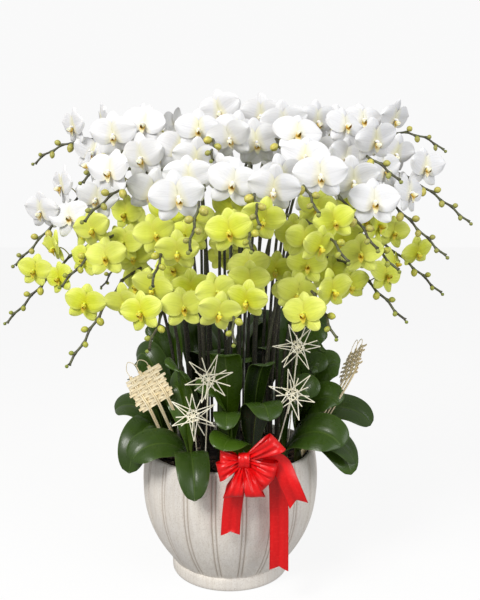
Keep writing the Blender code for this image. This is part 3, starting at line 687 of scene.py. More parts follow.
def wobble(count):
    """A steady uneven value from -1 to 1."""
    return math.sin(2.4 * count + 0.7)


# Flowers

PETAL, LIP, STEM, BUD = range(4)
FLOWER_KINDS = 9


def blade(length, half_width, skew, fullness, rows, lanes):
    """A petal along +X that faces +Z: its grid of points, and where each lies along and across it."""
    along = 0.5 - 0.5 * np.cos(np.pi * np.linspace(0.0, 1.0, rows))
    along, across = np.meshgrid(along, np.linspace(-1.0, 1.0, lanes), indexing="ij")
    half = half_width * np.maximum(np.sin(np.pi * along ** skew), 0.001) ** fullness
    return np.stack([length * along, half * across, np.zeros_like(along)], -1), along, across


def turned(grid, axis, degrees):
    return grid @ np.array(Matrix.Rotation(math.radians(degrees), 3, axis)).T


def add_sepals(shape, draw):
    """The three narrower petals behind: one up and two down to the sides."""
    for angle, length in ((90, 0.98), (-50, 0.95), (230, 0.95)):
        grid, along, across = blade(length, 0.335, 0.90, 0.50, 10, 7)
        grid[..., 2] = -0.035 - draw.uniform(-0.05, 0.20) * along ** 2 - 0.07 * across ** 2
        grid[..., 2] += 0.05 * np.exp(-((across / 0.25) ** 2)) * along * (1 - along)
        grid = turned(grid, "Z", angle + draw.uniform(-5, 5))
        closed_sheet(shape, grid, along, across, 0.016, PETAL)


def add_petals(shape, draw):
    """The two broad petals, one to each side, arched, rippled and creased along the middle."""
    for angle, upper in ((15, 1.0), (165, -1.0)):
        grid, along, across = blade(1.04, 0.545, 0.80, 0.47, 12, 10)
        grid[..., 1] *= 1.0 + 0.13 * upper * across
        bend = draw.uniform(-0.06, 0.20)
        ripple = draw.uniform(0.02, 0.04) * np.sin(4.5 * across + draw.uniform(0, 6)) * along
        grid[..., 2] = 0.03 + 0.10 * along - bend * along ** 3 - 0.10 * across ** 2 * along + ripple
        grid[..., 2] -= 0.035 * np.exp(-((across / 0.16) ** 2)) * np.sin(np.pi * along)
        grid = turned(grid, "Y", draw.uniform(-12, 12))
        grid = turned(grid, "Z", angle + draw.uniform(-4, 4))
        closed_sheet(shape, grid, along, across, 0.018, PETAL)


def add_lip(shape, draw):
    """The lip: a tongue that hangs forwards, two raised side lobes, and the crest between them."""
    grid, along, across = blade(0.33, 0.12, 1.1, 0.50, 8, 5)
    grid[..., 2] = 0.05 * across ** 2 - 0.25 * along ** 2
    grid = turned(turned(grid, "Y", -42), "Z", -90) + (0.0, -0.05, 0.08)
    closed_sheet(shape, grid, along, across, 0.03, LIP)
    for side in (-1.0, 1.0):
        grid, along, across = blade(0.24, 0.12, 0.9, 0.50, 7, 5)
        grid[..., 2] = 0.16 * across ** 2 + 0.10 * along ** 2
        grid = turned(turned(grid, "Y", -48), "Z", 90 - side * (52 + draw.uniform(-6, 6)))
        closed_sheet(shape, grid + (0.03 * side, -0.08, 0.07), along, across, 0.026, LIP)
    crest = [(0.0, -0.11, 0.10), (0.0, -0.12, 0.17), (0.0, -0.10, 0.23), (0.0, -0.08, 0.25)]
    tube(shape, crest, (0.045, 0.06, 0.05, 0.015), 6, LIP, span=(0.0, 0.3))


def flower(kind):
    """An open flower, one unit in radius, facing +Z with +Y up. Each kind opens in its own way."""
    shape = Shape()
    draw = np.random.default_rng(100 + kind)
    add_sepals(shape, draw)
    add_petals(shape, draw)
    add_lip(shape, draw)
    column = [(0.0, 0.01, 0.0), (0.0, 0.03, 0.08), (0.0, 0.03, 0.17), (0.0, 0.00, 0.24), (0.0, -0.03, 0.26)]
    tube(shape, column, (0.06, 0.06, 0.065, 0.055, 0.02), 7, PETAL, span=(0.2, 0.6))
    return shape


FLOWERS = [flower(kind) for kind in range(FLOWER_KINDS)]

RISING = (0.0, 0.35, 0.60, 0.78, 0.90)
FALLING = (0.0, 0.25, 0.50, 0.75, 1.0)
LAST_STATION = len(RISING) + len(FALLING) - 1


def spike_curves(spike):
    """The two curves of a stem: from its foot to its crest, and from there to its tip."""
    foot = Vector((*spike.foot, PLANT_FOOT))
    crest, tip = Vector(spike.crest), Vector(spike.tip)
    level = Vector((tip.x - crest.x, tip.y - crest.y, 0.0))
    span = level.length
    level.normalize()
    rise = crest.z - foot.z
    droop = (level - 0.9 * UP).normalized()
    rising = (foot, foot + 0.55 * rise * UP, crest - 0.30 * span * level, crest)
    return rising, (crest, crest + 0.38 * span * level, tip - 0.36 * span * droop, tip)


def curve_point(curves, station):
    """The point at a station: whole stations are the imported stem's own corners."""
    whole = min(int(station), LAST_STATION - 1)
    share = station - whole
    stations = RISING + (1.0,)
    curve = curves[0]
    if whole >= len(RISING):
        whole -= len(RISING)
        stations = FALLING
        curve = curves[1]
    return bezier(curve, stations[whole] + share * (stations[whole + 1] - stations[whole]))


def station_at(lengths, distance):
    last = len(lengths) - 2
    step = next((i for i in range(last) if lengths[i + 1] >= distance), last)
    return step + (distance - lengths[step]) / (lengths[step + 1] - lengths[step])


def facing(spike):
    """Which way the spike's flowers look: outwards, and to the front on the spikes that stand there."""
    outwards = Vector((spike.tip[0] - spike.crest[0], spike.tip[1] - spike.crest[1], 0.0)).normalized()
    lean = FRONT if spike.tip[1] < 0.2 else -FRONT
    return (0.55 * outwards + 0.75 * lean - 0.10 * UP).normalized()


Bloom = namedtuple("Bloom", "count station place centre side look radius mark")


def blooms_of(index, spike, variety):
    """Each flower and bud of a spike, from the tip inwards, with the point that marks it in the part."""
    curves = spike_curves(spike)
    corners = [curve_point(curves, station) for station in range(LAST_STATION + 1)]
    lengths = [0.0]
    for near, far in zip(corners, corners[1:]):
        lengths.append(lengths[-1] + (far - near).length)
    look = facing(spike)
    distance = lengths[-1]
    blooms = []
    for count in range(spike.buds + spike.flowers):
        station = station_at(lengths, distance)
        step = min(int(station), len(corners) - 2)
        travel = (corners[step + 1] - corners[step]).normalized()
        place = corners[step].lerp(corners[step + 1], station - step)
        side, _ = frame_across(travel, look)
        side = side if count % 2 else -side
        if count < spike.buds:
            size = variety.bud_length * (0.45 + 0.55 * count / spike.buds)
            outwards = (side + 0.5 * travel + 0.3 * look).normalized()
            if count == 0:
                outwards = travel
                place = place - 2 * STEM_TIP_RADIUS * travel
            end = place + size * outwards
            blooms.append(Bloom(count, station, place, end, side, None, size, end))
            distance -= BUD_PITCH
            continue
        turn = Matrix.Rotation(math.radians(16 * wobble(count + index)), 3, "Z")
        own_look = (turn @ look + 0.12 * wobble(3 * count + index) * UP).normalized()
        centre = place + variety.reach_side * side + variety.reach_out * own_look
        size = variety.petal_radius * (1.0 + 0.05 * wobble(5 * count + index))
        _, upward = frame_across(own_look, UP)
        mark = centre + FLOWER_DEPTH * own_look - 0.12 * size * upward
        blooms.append(Bloom(count, station, place, centre, side, own_look, size, mark))
        distance -= variety.pitch
    return curves, blooms


MARK_REACH = 0.0015


def in_part(node):
    """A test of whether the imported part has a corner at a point."""
    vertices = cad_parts[node].data.vertices
    tree = KDTree(len(vertices))
    for vertex in vertices:
        tree.insert(vertex.co, vertex.index)
    tree.balance()
    return lambda point: tree.find(point)[2] < MARK_REACH


STEM_STATIONS = 46
BESIDE_NODE = np.array([-0.09, -0.03, 0.0, 0.03, 0.09])
NODE_SHIFT = 0.0024
LOW_BRACTS = [1.3, 2.4, 3.5]
STALK_RADIUS = 0.0013
BUD_STALK_SHARE = 0.24
# Shares of a bud's length, and how thick it is there as a share of its widest
BUD_PROFILE = (
    (0.04, 0.45),
    (0.18, 0.78),
    (0.38, 0.98),
    (0.58, 1.00),
    (0.78, 0.80),
    (0.93, 0.42),
    (1.00, 0.08),
)


def add_stem(shape, curves, blooms):
    """The stem: a little bent and swollen at each node, with a pointed bract under each bloom."""
    nodes = sorted((bloom.station, bloom.side) for bloom in blooms)
    stations = set(np.linspace(0.0, LAST_STATION, STEM_STATIONS))
    for station, _ in nodes:
        stations.update(np.clip(station + BESIDE_NODE, 0.0, LAST_STATION))
    stations = sorted(stations)
    bends = [station for station, _ in nodes]
    offsets = np.array([tuple(NODE_SHIFT * side) for _, side in nodes])
    swing = np.stack([np.interp(stations, bends, offsets[:, axis]) for axis in range(3)], 1)
    swing *= np.clip((np.array(stations) - bends[0] + 1.0), 0.0, 1.0)[:, None]
    path = np.array([tuple(curve_point(curves, station)) for station in stations]) + swing
    foot_radius, tip_radius = 1.05 * STEM_FOOT_RADIUS, 1.7 * STEM_TIP_RADIUS
    radii = foot_radius + (tip_radius - foot_radius) * (np.array(stations) / LAST_STATION)
    for station in bends:
        radii = radii * (1.0 + 0.55 * np.exp(-(((np.array(stations) - station) / 0.04) ** 2)))
    tube(shape, path, radii, 7, STEM)
    for station in bends + LOW_BRACTS:
        add_bract(shape, curves, station)


def add_bract(shape, curves, station):
    """A pointed bract that lies along the stem."""
    near = curve_point(curves, station)
    ahead = (curve_point(curves, min(station + 0.05, LAST_STATION)) - near).normalized()
    side, _ = frame_across(ahead, FRONT)
    side = side if int(10 * station) % 2 else -side
    place = np.array(near) + 0.0010 * np.array(side)
    grid, along, across = blade(0.0085, 0.0026, 0.7, 0.7, 5, 4)
    grid[..., 2] = -0.0012 * across ** 2 + 0.0008 * along
    basis = np.array([tuple(ahead), tuple(ahead.cross(side)), tuple(side)]).T
    closed_sheet(shape, grid @ basis.T + place, along * 0.3 + 0.3, across, 0.0006, STEM)


def add_bud(shape, bloom, buds):
    """An egg-shaped bud on a short bowed stalk."""
    start, end = bloom.place, bloom.centre
    stalk_end = start.lerp(end, BUD_STALK_SHARE)
    bow = 0.10 * bloom.radius * UP
    path = [start, start.lerp(stalk_end, 0.5) + bow, stalk_end + bow]
    radii = [0.0010, 0.0010, 0.0011]
    axis = 1.06 * (end - stalk_end) - bow
    for share, wide in BUD_PROFILE:
        path.append(stalk_end + bow + share * axis)
        radii.append(0.345 * bloom.radius * wide)
    ripe = min(1.0, bloom.count / max(1, buds - 1))
    tube(shape, path, radii, 9, BUD, tone=ripe)


def add_flower(shape, bloom, index):
    """A flower on its bowed stalk, a little turned and rolled."""
    count = bloom.count + 5 * index
    turn = math.radians(20 * wobble(4 * count) ** 3 + 10 * wobble(11 * count))
    look = Matrix.Rotation(turn, 3, "Z") @ bloom.look + 0.26 * wobble(7 * count) * UP
    look.normalize()
    across, upward = frame_across(look, UP)
    roll = Matrix.Rotation(math.radians(15 * wobble(6 * count)), 3, look)
    right, upward = roll @ -across, roll @ upward
    basis = bloom.radius * np.array([tuple(right), tuple(upward), tuple(look)]).T
    shape.stamp(FLOWERS[count % FLOWER_KINDS], basis, np.array(bloom.centre), 10.0 * wobble(9 * count))
    reach = (bloom.centre - bloom.place).length
    back = bloom.centre - 0.02 * bloom.radius * look
    controls = (bloom.place, bloom.place + 0.45 * reach * bloom.side, back - 0.5 * reach * look, back)
    stalk = [bezier(controls, t / 7) for t in range(8)]
    tube(shape, stalk, STALK_RADIUS, 6, BUD, tone=0.8, span=(0.3, 0.45))


def build_spikes():
    index = 0
    for colour, variety, spikes in (("white", WHITE, WHITE_SPIKES), ("yellow", YELLOW, YELLOW_SPIKES)):
        looks = (f"{colour}_petal", f"{colour}_lip", "stem", f"{colour}_bud")
        for number, spike in enumerate(spikes, 1):
            name = f"{colour}_spike_{number:02}"
            curves, blooms = blooms_of(index, spike, variety)
            grown = in_part(name)
            shape = Shape()
            add_stem(shape, curves, blooms)
            for bloom in blooms:
                if not grown(bloom.mark):
                    continue
                bloom = bloom._replace(place=curve_point(curves, bloom.station))
                if bloom.look:
                    add_flower(shape, bloom, index)
                else:
                    add_bud(shape, bloom, spike.buds)
            shape.piece(f"orchid_{name}", looks, [name])
            index += 1


# Leaves

LEAF_ROWS = 34
LEAF_LANES = 13
LEAF_THICKNESS = 0.0022
LEAF_DIP = 0.010
SHEATH_RADII = (0.0080, 0.0090, 0.0075, 0.003)


def leaf_line(foot, leaf, part):
    """The line of a leaf, and at each point its travel and the ways across and over the blade."""
    tip = Vector(leaf.tip)
    shoulder = foot.lerp(tip, LEAF_SHOULDER)
    shoulder.z = max(foot.z + 1.15 * leaf.rise, tip.z)
    controls = (foot, foot + leaf.rise * UP, shoulder, tip)
    line = np.array([tuple(bezier(controls, t)) for t in part])
    travel = unit_rows(np.gradient(line, axis=0))
    side = np.cross(unit_rows(travel * (1.0, 1.0, 0.0)), np.array(UP))
    over = np.cross(side, travel)
    roll = np.radians(leaf.roll) * np.minimum(1.0, 2 * part)[:, None]
    rolled_side = np.cos(roll) * side - np.sin(roll) * over
    rolled_over = np.sin(roll) * side + np.cos(roll) * over
    return line, travel, rolled_side, rolled_over


def leaf_half_width(part, width):
    """Half the width of the blade: a narrow sheath, an even blade and a blunt end."""
    growth = np.sin(0.5 * np.pi * np.minimum(1.0, part / LEAF_FULL))
    past = np.maximum(0.0, (part - 1.0) / LEAF_ROUNDING + 1.0)
    blunt = np.sqrt(np.maximum(0.0004, 1.0 - past ** 3))
    sheath = LEAF_SHEATH * np.minimum(1.0, 6 * (1.0 - part))
    return 0.5 * width * np.maximum(sheath, growth * blunt)


def add_leaf(shape, foot, leaf, number):
    """One leaf: folded at its sheath, creased along the middle, wavy at its edges and notched at its tip."""
    part = np.linspace(0.0, 1.0, LEAF_ROWS)
    part = part + 0.10 * np.sin(np.pi * part) * part
    line, travel, side, over = leaf_line(foot, leaf, part)
    half = leaf_half_width(part, leaf.width)[:, None, None]
    across = np.linspace(-1.0, 1.0, LEAF_LANES)[None, :, None]
    clasp = np.exp(-part / 0.10)[:, None, None]
    fold = (0.16 + 0.75 * clasp) * np.abs(across) - 0.10 * across ** 2
    crease = -0.045 * np.exp(-((across / 0.10) ** 2))
    wave = 0.05 * np.sin(9.0 * part + number)[:, None, None] * across ** 3
    notch = 0.006 * np.exp(-((across / 0.30) ** 2)) * (part ** 20)[:, None, None]
    grid = line[:, None] + half * across * side[:, None] + half * (fold + crease + wave) * over[:, None]
    grid = grid - notch * travel[:, None]
    thickness = LEAF_THICKNESS * (1.0 + 0.8 * np.exp(-part / 0.15))
    tone = 0.5 + 0.5 * wobble(3 * number)
    closed_sheet(shape, grid, part[:, None], across[..., 0], thickness, tone=tone)


def build_leaves():
    for number, spray in enumerate(LEAF_SPRAYS, 1):
        foot = Vector((*spray.foot, PLANT_FOOT + LEAF_DIP))
        shape = Shape()
        above = foot + LEAF_PAIR_RISE * UP
        leaves = [(foot, leaf) for leaf in spray.lower]
        leaves += [(above, leaf) for leaf in (*spray.upper, *FILLER_LEAVES.get(number, ()))]
        for order, (start, leaf) in enumerate(leaves):
            add_leaf(shape, start, leaf, 5 * number + order)
        root = [foot - 0.012 * UP, foot, above, above + 0.006 * UP]
        tube(shape, root, SHEATH_RADII, 10, tone=0.3, span=(0.0, 0.1))
        shape.piece(f"leaves_{number:02}", ["leaf"], [f"leaf_spray_{number:02}"])


# Pot and growing medium


def pot_radius(height):
    if height <= POT_WIDEST_HEIGHT:
        part = (POT_WIDEST_HEIGHT - height) / (POT_WIDEST_HEIGHT - POT_FOOT_HEIGHT)
        return POT_WIDEST_RADIUS - (POT_WIDEST_RADIUS - POT_FOOT_RADIUS) * part ** POT_SIDE_POWER
    part = (height - POT_WIDEST_HEIGHT) / (POT_HEIGHT - POT_WIDEST_HEIGHT)
    return POT_WIDEST_RADIUS - (POT_WIDEST_RADIUS - POT_RIM_RADIUS) * part ** 2


# Where the pot has points, as shares of a lobe from its seam
SEAM_SHARES = np.array([0.0, 0.018, 0.036, 0.052, 0.068, 0.084, 0.102, 0.13, 0.18, 0.26, 0.38])
SEAM_START = 0.029
SEAM_RUN = 0.007
BEAD_WIDTH = 0.0020
BEAD_HEIGHT = 0.0013
GROOVE_WIDTH = 0.0016
GROOVE_PLACE = 0.0042
GROOVE_DEPTH = 0.0019
LOBE_SWELL = 0.0040
FOOT_EDGE = 0.004
# The rim from its outside to its inside: how far in, how far down, and the depth of the seams
RIM_PROFILE = (
    (0.0, 0.004, 0.55),
    (0.0015, 0.0015, 0.35),
    (0.004, 0.0, 0.1),
    (0.0085, 0.0004, 0.0),
    (0.0115, 0.003, 0.0),
)


def pot_angles():
    """Angles round the pot, close together at the seams, and each one's share of a lobe from its seam."""
    shares = np.concatenate([SEAM_SHARES, [0.5], 1.0 - SEAM_SHARES[:0:-1]])
    lobe = np.arange(LOBES)[:, None]
    angles = 2 * math.pi * (lobe + shares + 0.5) / LOBES - math.pi / 2
    return angles.ravel(), np.tile(np.minimum(shares, 1.0 - shares), LOBES)


def pot_outline():
    """Radius, height and depth of the seams, from the underside up, over the rim and down inside."""
    foot_corner = POT_FOOT_RADIUS - 0.3 * FOOT_EDGE
    outline = [(POT_FOOT_RADIUS - FOOT_EDGE, 0.0, 0.0), (foot_corner, 0.3 * FOOT_EDGE, 0.0)]
    for height in np.linspace(FOOT_EDGE, POT_FOOT_HEIGHT - FOOT_EDGE, 5):
        swell = 0.001 * math.sin(math.pi * height / POT_FOOT_HEIGHT)
        outline.append((POT_FOOT_RADIUS + swell, height, 0.0))
    outline.append((foot_corner, POT_FOOT_HEIGHT - 0.3 * FOOT_EDGE, 0.0))
    low = [0.0295, 0.031, 0.034, 0.038]
    for height in np.concatenate([low, np.linspace(0.043, POT_HEIGHT - 0.008, 34)]):
        depth = min(1.0, (height - SEAM_START) / SEAM_RUN)
        outline.append((pot_radius(max(height, POT_FOOT_HEIGHT)) - 0.002 * (1.0 - depth), height, depth))
    for inwards, down, depth in RIM_PROFILE:
        outline.append((POT_RIM_RADIUS - inwards, POT_HEIGHT - down, depth))
    for height in (MEDIUM_TOP, 0.18, 0.12, 0.06, 0.03):
        outline.append((pot_radius(height) - POT_WALL, height, 0.0))
    outline.append((POT_FOOT_RADIUS - POT_WALL - 0.004, POT_FLOOR, 0.0))
    return outline


def build_pot():
    """The pot: rounded lobes that meet in seams, each a fine bead with a groove beside it."""
    angles, apart = pot_angles()
    rings, grooves = [], []
    for radius, height, depth in pot_outline():
        away = apart * 2 * math.pi * radius / LOBES
        bead = np.exp(-((away / BEAD_WIDTH) ** 2))
        groove = np.exp(-(((away - GROOVE_PLACE) / GROOVE_WIDTH) ** 2))
        swell = LOBE_SWELL * (1.0 - np.sin(np.pi * apart) ** 0.6)
        reach = radius - depth * (swell + GROOVE_DEPTH * groove - BEAD_HEIGHT * bead)
        rings.append(level_ring(reach, angles, height))
        # The groove marks, which carry the painted shade of the grooves to the glaze.
        grooves.append(depth * groove)
    points = np.concatenate(rings + [[(0.0, 0.0, 0.0)], [(0.0, 0.0, POT_FLOOR)]])
    marks = np.zeros((len(points), 4))
    marks[:-2, 1] = np.concatenate(grooves)
    shape = Shape()
    shape.add(points, marks, *ring_faces(len(rings), len(angles)))
    shape.piece("pot_body", ["pot"], ["pot"])


CHIPS = 620
BED_DEPTH = 0.03
BED_SIDES = 72


def add_bed(shape, draw, reach):
    """A bed of bark with a flat underside and a lumpy top."""
    around = np.linspace(0.0, 2 * math.pi, BED_SIDES, endpoint=False)
    low = MEDIUM_TOP - BED_DEPTH
    rings = [level_ring(reach, around, height) for height in (low, MEDIUM_TOP)]
    for share in (0.96, 0.8, 0.6, 0.4, 0.2):
        lump = draw.uniform(-0.0015, 0.0025, BED_SIDES)
        rings.append(level_ring(share * reach, around, MEDIUM_TOP + lump))
    points = np.concatenate(rings + [[(0.0, 0.0, low)], [(0.0, 0.0, MEDIUM_TOP)]])
    shape.add(points, np.zeros((len(points), 4)), *ring_faces(len(rings), BED_SIDES))


def add_chip(shape, draw, reach):
    """A loose, tilted chip of bark somewhere on the bed."""
    away = reach * math.sqrt(draw.uniform(0.12, 1.0))
    angle = draw.uniform(0.0, 2 * math.pi)
    long, wide = draw.uniform(0.008, 0.017), draw.uniform(0.005, 0.010)
    grid, along, across = blade(long, 0.5 * wide, 0.9, 0.35, 5, 4)
    grid = grid - (0.5 * long, 0.0, 0.0)
    grid = grid + draw.uniform(-0.0009, 0.0009, grid.shape)
    tilt = Matrix.Rotation(draw.uniform(-0.5, 0.5), 3, "X")
    tilt = tilt @ Matrix.Rotation(draw.uniform(-0.4, 0.4), 3, "Y")
    turn = np.array(Matrix.Rotation(draw.uniform(0.0, 2 * math.pi), 3, "Z") @ tilt)
    place = (away * math.cos(angle), away * math.sin(angle), MEDIUM_TOP + draw.uniform(0.001, 0.008))
    grid = grid @ turn.T + place
    thickness = draw.uniform(0.0025, 0.0045)
    closed_sheet(shape, grid, along, across, thickness, tone=draw.uniform(0, 1), rim=0.7)


def build_medium():
    """A lumpy bed of bark with loose chips over it."""
    shape = Shape()
    draw = np.random.default_rng(7)
    reach = pot_radius(MEDIUM_TOP) - POT_WALL - 0.001
    add_bed(shape, draw, reach)
    for _ in range(CHIPS):
        add_chip(shape, draw, reach - 0.010)
    shape.piece("bark_bed", ["bark"], ["growing_medium"])


# Ribbon

CLOTH_THICKNESS = 0.0007
LOOP_ROWS = 41
LOOP_LANES = 13
PLEAT_DEPTH = 0.0034
KNOT_BAND_HALF_WIDTH = 0.0105
# Two more loops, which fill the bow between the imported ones
EXTRA_LOOPS = (
    BowLoop((0.046, -0.008, -0.046), 0.034, 0.018),
    BowLoop((-0.046, 0.004, 0.008), 0.032, 0.016),
)


def loop_grid(loop, number):
    """One loop of the bow: out over its front, round its end and back, gathered into pleats at the knot."""
    reach = Vector(loop.reach)
    side = reach.cross(FRONT).normalized()
    over = np.array(side.cross(reach).normalized())
    side, reach = np.array(side), np.array(reach)
    along = np.linspace(0.0, 1.0, LOOP_ROWS)[:, None, None]
    across = np.linspace(-1.0, 1.0, LOOP_LANES)[None, :, None]
    away = np.sin(np.pi * along) ** 0.72
    full = loop.fullness * np.sin(2 * np.pi * along) * 0.62
    half = 0.5 * loop.width * (0.30 + 0.70 * away)
    pleats = PLEAT_DEPTH * np.cos(2.6 * np.pi * across + number) * (1.0 - away) ** 0.6
    pleats = pleats + 0.0016 * np.sin(3.4 * across + 5.0 * away + 2.0 * number)
    skew = 0.10 * wobble(number) * across * away
    grid = np.array(BOW_KNOT) + (away + skew) * reach + half * across * side + (full + pleats) * over
    length = np.linalg.norm(np.diff(grid[:, LOOP_LANES // 2], axis=0), axis=1).sum()
    return grid, along[..., 0], across[..., 0], length


def add_knot(shape):
    """The band round the middle of the bow. It gives back the length of ribbon in it."""
    turn = np.linspace(-0.02, 2 * math.pi - 0.06, 33)[:, None, None]
    across = np.linspace(-1.0, 1.0, 9)[None, :, None]
    front = -(KNOT_RADIUS - 0.002) * np.cos(turn) + 0.0010 * np.cos(5.0 * across)
    upward = (KNOT_RADIUS + 0.001) * np.sin(turn) + 0.0 * across
    band = np.concatenate([KNOT_BAND_HALF_WIDTH * across + 0.0 * turn, front, upward], axis=-1)
    band = band + np.array(BOW_KNOT)
    closed_sheet(shape, band, turn[..., 0] / 60, across[..., 0], CLOTH_THICKNESS, rim=1.0)
    return 2 * math.pi * KNOT_RADIUS


def build_bow():
    shape = Shape()
    total = 0.0
    for number, loop in enumerate(BOW_LOOPS + EXTRA_LOOPS):
        grid, along, across, length = loop_grid(loop, number)
        closed_sheet(shape, grid, along * length, across, CLOTH_THICKNESS, rim=1.0)
        total += length
    total += add_knot(shape)
    bow = shape.piece("ribbon_bow", ["satin"], ["bow"])


def build_tails():
    """The hanging ends: gathered at the knot, gently waved and curled, and notched at the cut end."""
    for number, (name, route) in enumerate(RIBBON_TAILS.items()):
        start = Vector(route[0])
        route = (tuple(start.lerp(BOW_KNOT, 0.55)), *route)
        line = np.array([tuple(p) for p in smooth_line(route, 12)])
        travel = unit_rows(np.gradient(line, axis=0))
        side = unit_rows(np.cross(travel, np.array(FRONT)))
        over = np.cross(side, travel)
        part = np.linspace(0.0, 1.0, len(line))[:, None, None]
        across = np.linspace(-1.0, 1.0, 11)[None, :, None]
        gather = 0.5 + 0.5 * np.clip(part / 0.25, 0.0, 1.0) ** 0.7
        wave = 0.0030 * np.sin(7.0 * part + 1.7 * number + 1.4 * across) * (0.4 + part)
        curl = 0.0030 * across ** 2 * np.cos(3.0 * part + number)
        half = 0.5 * RIBBON_WIDTH * gather * across
        notch = NOTCH_DEPTH * (1.0 - np.abs(across)) * np.clip(12 * part - 11, 0, 1)
        grid = line[:, None] + half * side[:, None] + (wave + curl) * over[:, None] - notch * travel[:, None]
        length = float(np.linalg.norm(np.diff(line, axis=0), axis=1).sum())
        shape = Shape()
        closed_sheet(shape, grid, part[..., 0] * length, across[..., 0], CLOTH_THICKNESS, rim=1.0)
        tail = shape.piece(f"{name}_cloth", ["satin"], [name])


PICK_RADIUS = 0.0012
PICK_BEND = Vector((0.0, 0.015, 0.030))


def build_pick():
    pick_top = BOW_KNOT + Vector((0.0, KNOT_RADIUS, 0.0))
    bend = BOW_PICK_FOOT.lerp(pick_top, 0.5) + PICK_BEND
    shape = Shape()
    tube(shape, smooth_line((BOW_PICK_FOOT, bend, pick_top), 8), PICK_RADIUS, 8)
    shape.piece("bow_pick_wire", ["wire"], ["bow_pick"])


# Straw stars

LONG_RAYS = 6
SHORT_RAYS = 9
RAY_FOOT = 0.014
RAY_RADIUS = 0.00105
SHORT_RAY_RADII = (0.0010, 0.0012, 0.0012)
BINDING_TURNS = 3
BINDING_RADIUS = 0.0026
THREAD_RADIUS = 0.0009
STRAW_STICK_RADIUS = 0.0014


def build_stars():
    """Each star: six long rays of two straws, short straws between them, a bound middle and its stick."""
    for number, (centre, foot) in enumerate(STRAW_STARS, 1):
        draw = np.random.default_rng(20 + number)
        shape = Shape()
        middle = np.array(centre)

        def point(angle, away, ahead=0.0):
            return middle + (away * math.cos(angle), -ahead, away * math.sin(angle))

        for k in range(LONG_RAYS):
            angle = 2 * math.pi * k / LONG_RAYS + 0.25 * number + draw.uniform(-0.10, 0.10)
            tip = point(angle, STAR_RADIUS * draw.uniform(0.84, 0.98), draw.uniform(-0.012, 0.012))
            for way in (-1, 1):
                base = point(angle + way * 2.2, RAY_FOOT, draw.uniform(-0.004, 0.004))
                tube(shape, [base, 0.5 * (base + tip), tip], RAY_RADIUS, 6, tone=draw.uniform(0, 9))
        for k in range(SHORT_RAYS):
            angle = 2 * math.pi * k / SHORT_RAYS + 0.4 + draw.uniform(-0.12, 0.12)
            away = STAR_RADIUS * draw.uniform(0.42, 0.86)
            end = point(angle, away, 0.6 * away * draw.uniform(-0.8, 0.8))
            start = middle - 0.16 * (end - middle)
            straw = [start, 0.5 * (start + end), end]
            tube(shape, straw, SHORT_RAY_RADII, 6, tone=draw.uniform(0, 9))
        for turn in range(BINDING_TURNS):
            ring = [point(a, BINDING_RADIUS, 0.0016 * (turn - 1)) for a in np.linspace(0, 5.9, 12)]
            tube(shape, ring, THREAD_RADIUS, 5, tone=2.0)
        low = foot - 0.004 * UP
        stick = [low, low.lerp(centre, 0.5), centre + 0.004 * UP]
        tube(shape, stick, STRAW_STICK_RADIUS, 8, tone=4.0)
        shape.piece(f"straw_star_{number}_straws", ["straw"], [f"straw_star_{number}"])


# Woven fans

SLATS = 13
SLAT_SHARE = 0.48
SLAT_POINTS = 25
SLAT_THICKNESS = 0.0013
WEAVE_SWAY = 0.0022
SLAT_CROWN = 0.0008
HANDLE_RADIUS = 0.0018
HANDLE_GAP = 0.0021
HANGER_RADIUS = 0.0008
# The handle that each hanging loop starts from, and how far it rises over the top slat
HANGERS = ((-1, 0.034), (0, 0.026))


def add_slats(shape, draw, centre, slat, stack):
    """The slats of a fan: uneven in length, and bent over and under the handles by turns."""
    pitch = FAN_HEIGHT / SLATS
    for row in range(SLATS):
        down = (row + 0.5 - 0.5 * SLATS) * pitch
        left = -0.5 * FAN_WIDTH + draw.uniform(-0.010, 0.003)
        right = 0.5 * FAN_WIDTH + draw.uniform(-0.003, 0.010)
        reach = np.linspace(left, right, SLAT_POINTS)[:, None, None]
        across = np.linspace(-1.0, 1.0, 5)[None, :, None]
        sway = WEAVE_SWAY * np.cos(math.pi * reach / FAN_HANDLE_SPREAD + math.pi * (row % 2))
        sway = sway + SLAT_CROWN * (1.0 - across ** 2)
        tilt = draw.uniform(-0.02, 0.02) * reach
        wide = SLAT_SHARE * pitch * across
        grid = centre + reach * slat + (down + wide + tilt) * stack + sway * np.cross(slat, stack)
        along = np.linspace(0.0, 1.0, SLAT_POINTS)[:, None]
        marks_across = SLAT_SHARE * across[..., 0]
        closed_sheet(shape, grid, along, marks_across, SLAT_THICKNESS, tone=draw.uniform(0, 9), rim=0.6)


def add_handles(shape, draw, centre, slat, stack, foot):
    """Three doubled sticks that come together at the medium and run up through the slats."""
    level = np.array((slat[0], slat[1], 0.0))
    for k in (-1, 0, 1):
        for twin in (-1, 1):
            beside = (k * FAN_HANDLE_SPREAD + twin * HANDLE_GAP) * slat
            low = centre + 0.55 * FAN_HEIGHT * stack + beside
            high = centre - 0.58 * FAN_HEIGHT * stack + beside
            hand = foot + (0.004 * k + 0.0012 * twin) * level
            bow = 0.30 * (low - hand) + 0.012 * k * slat
            path = smooth_line((hand, hand + bow, low, centre + beside, high), 5)
            tube(shape, path, HANDLE_RADIUS, 7, tone=draw.uniform(0, 9))


def add_hangers(shape, centre, slat, stack):
    """Two thin loops over the top edge."""
    for k, rise in HANGERS:
        start = centre - 0.5 * FAN_HEIGHT * stack + k * FAN_HANDLE_SPREAD * slat
        end = start + FAN_HANDLE_SPREAD * slat
        lift = -rise * stack
        route = (start, start + 0.6 * lift, 0.5 * (start + end) + lift, end + 0.6 * lift, end)
        tube(shape, smooth_line(route, 5), HANGER_RADIUS, 6)


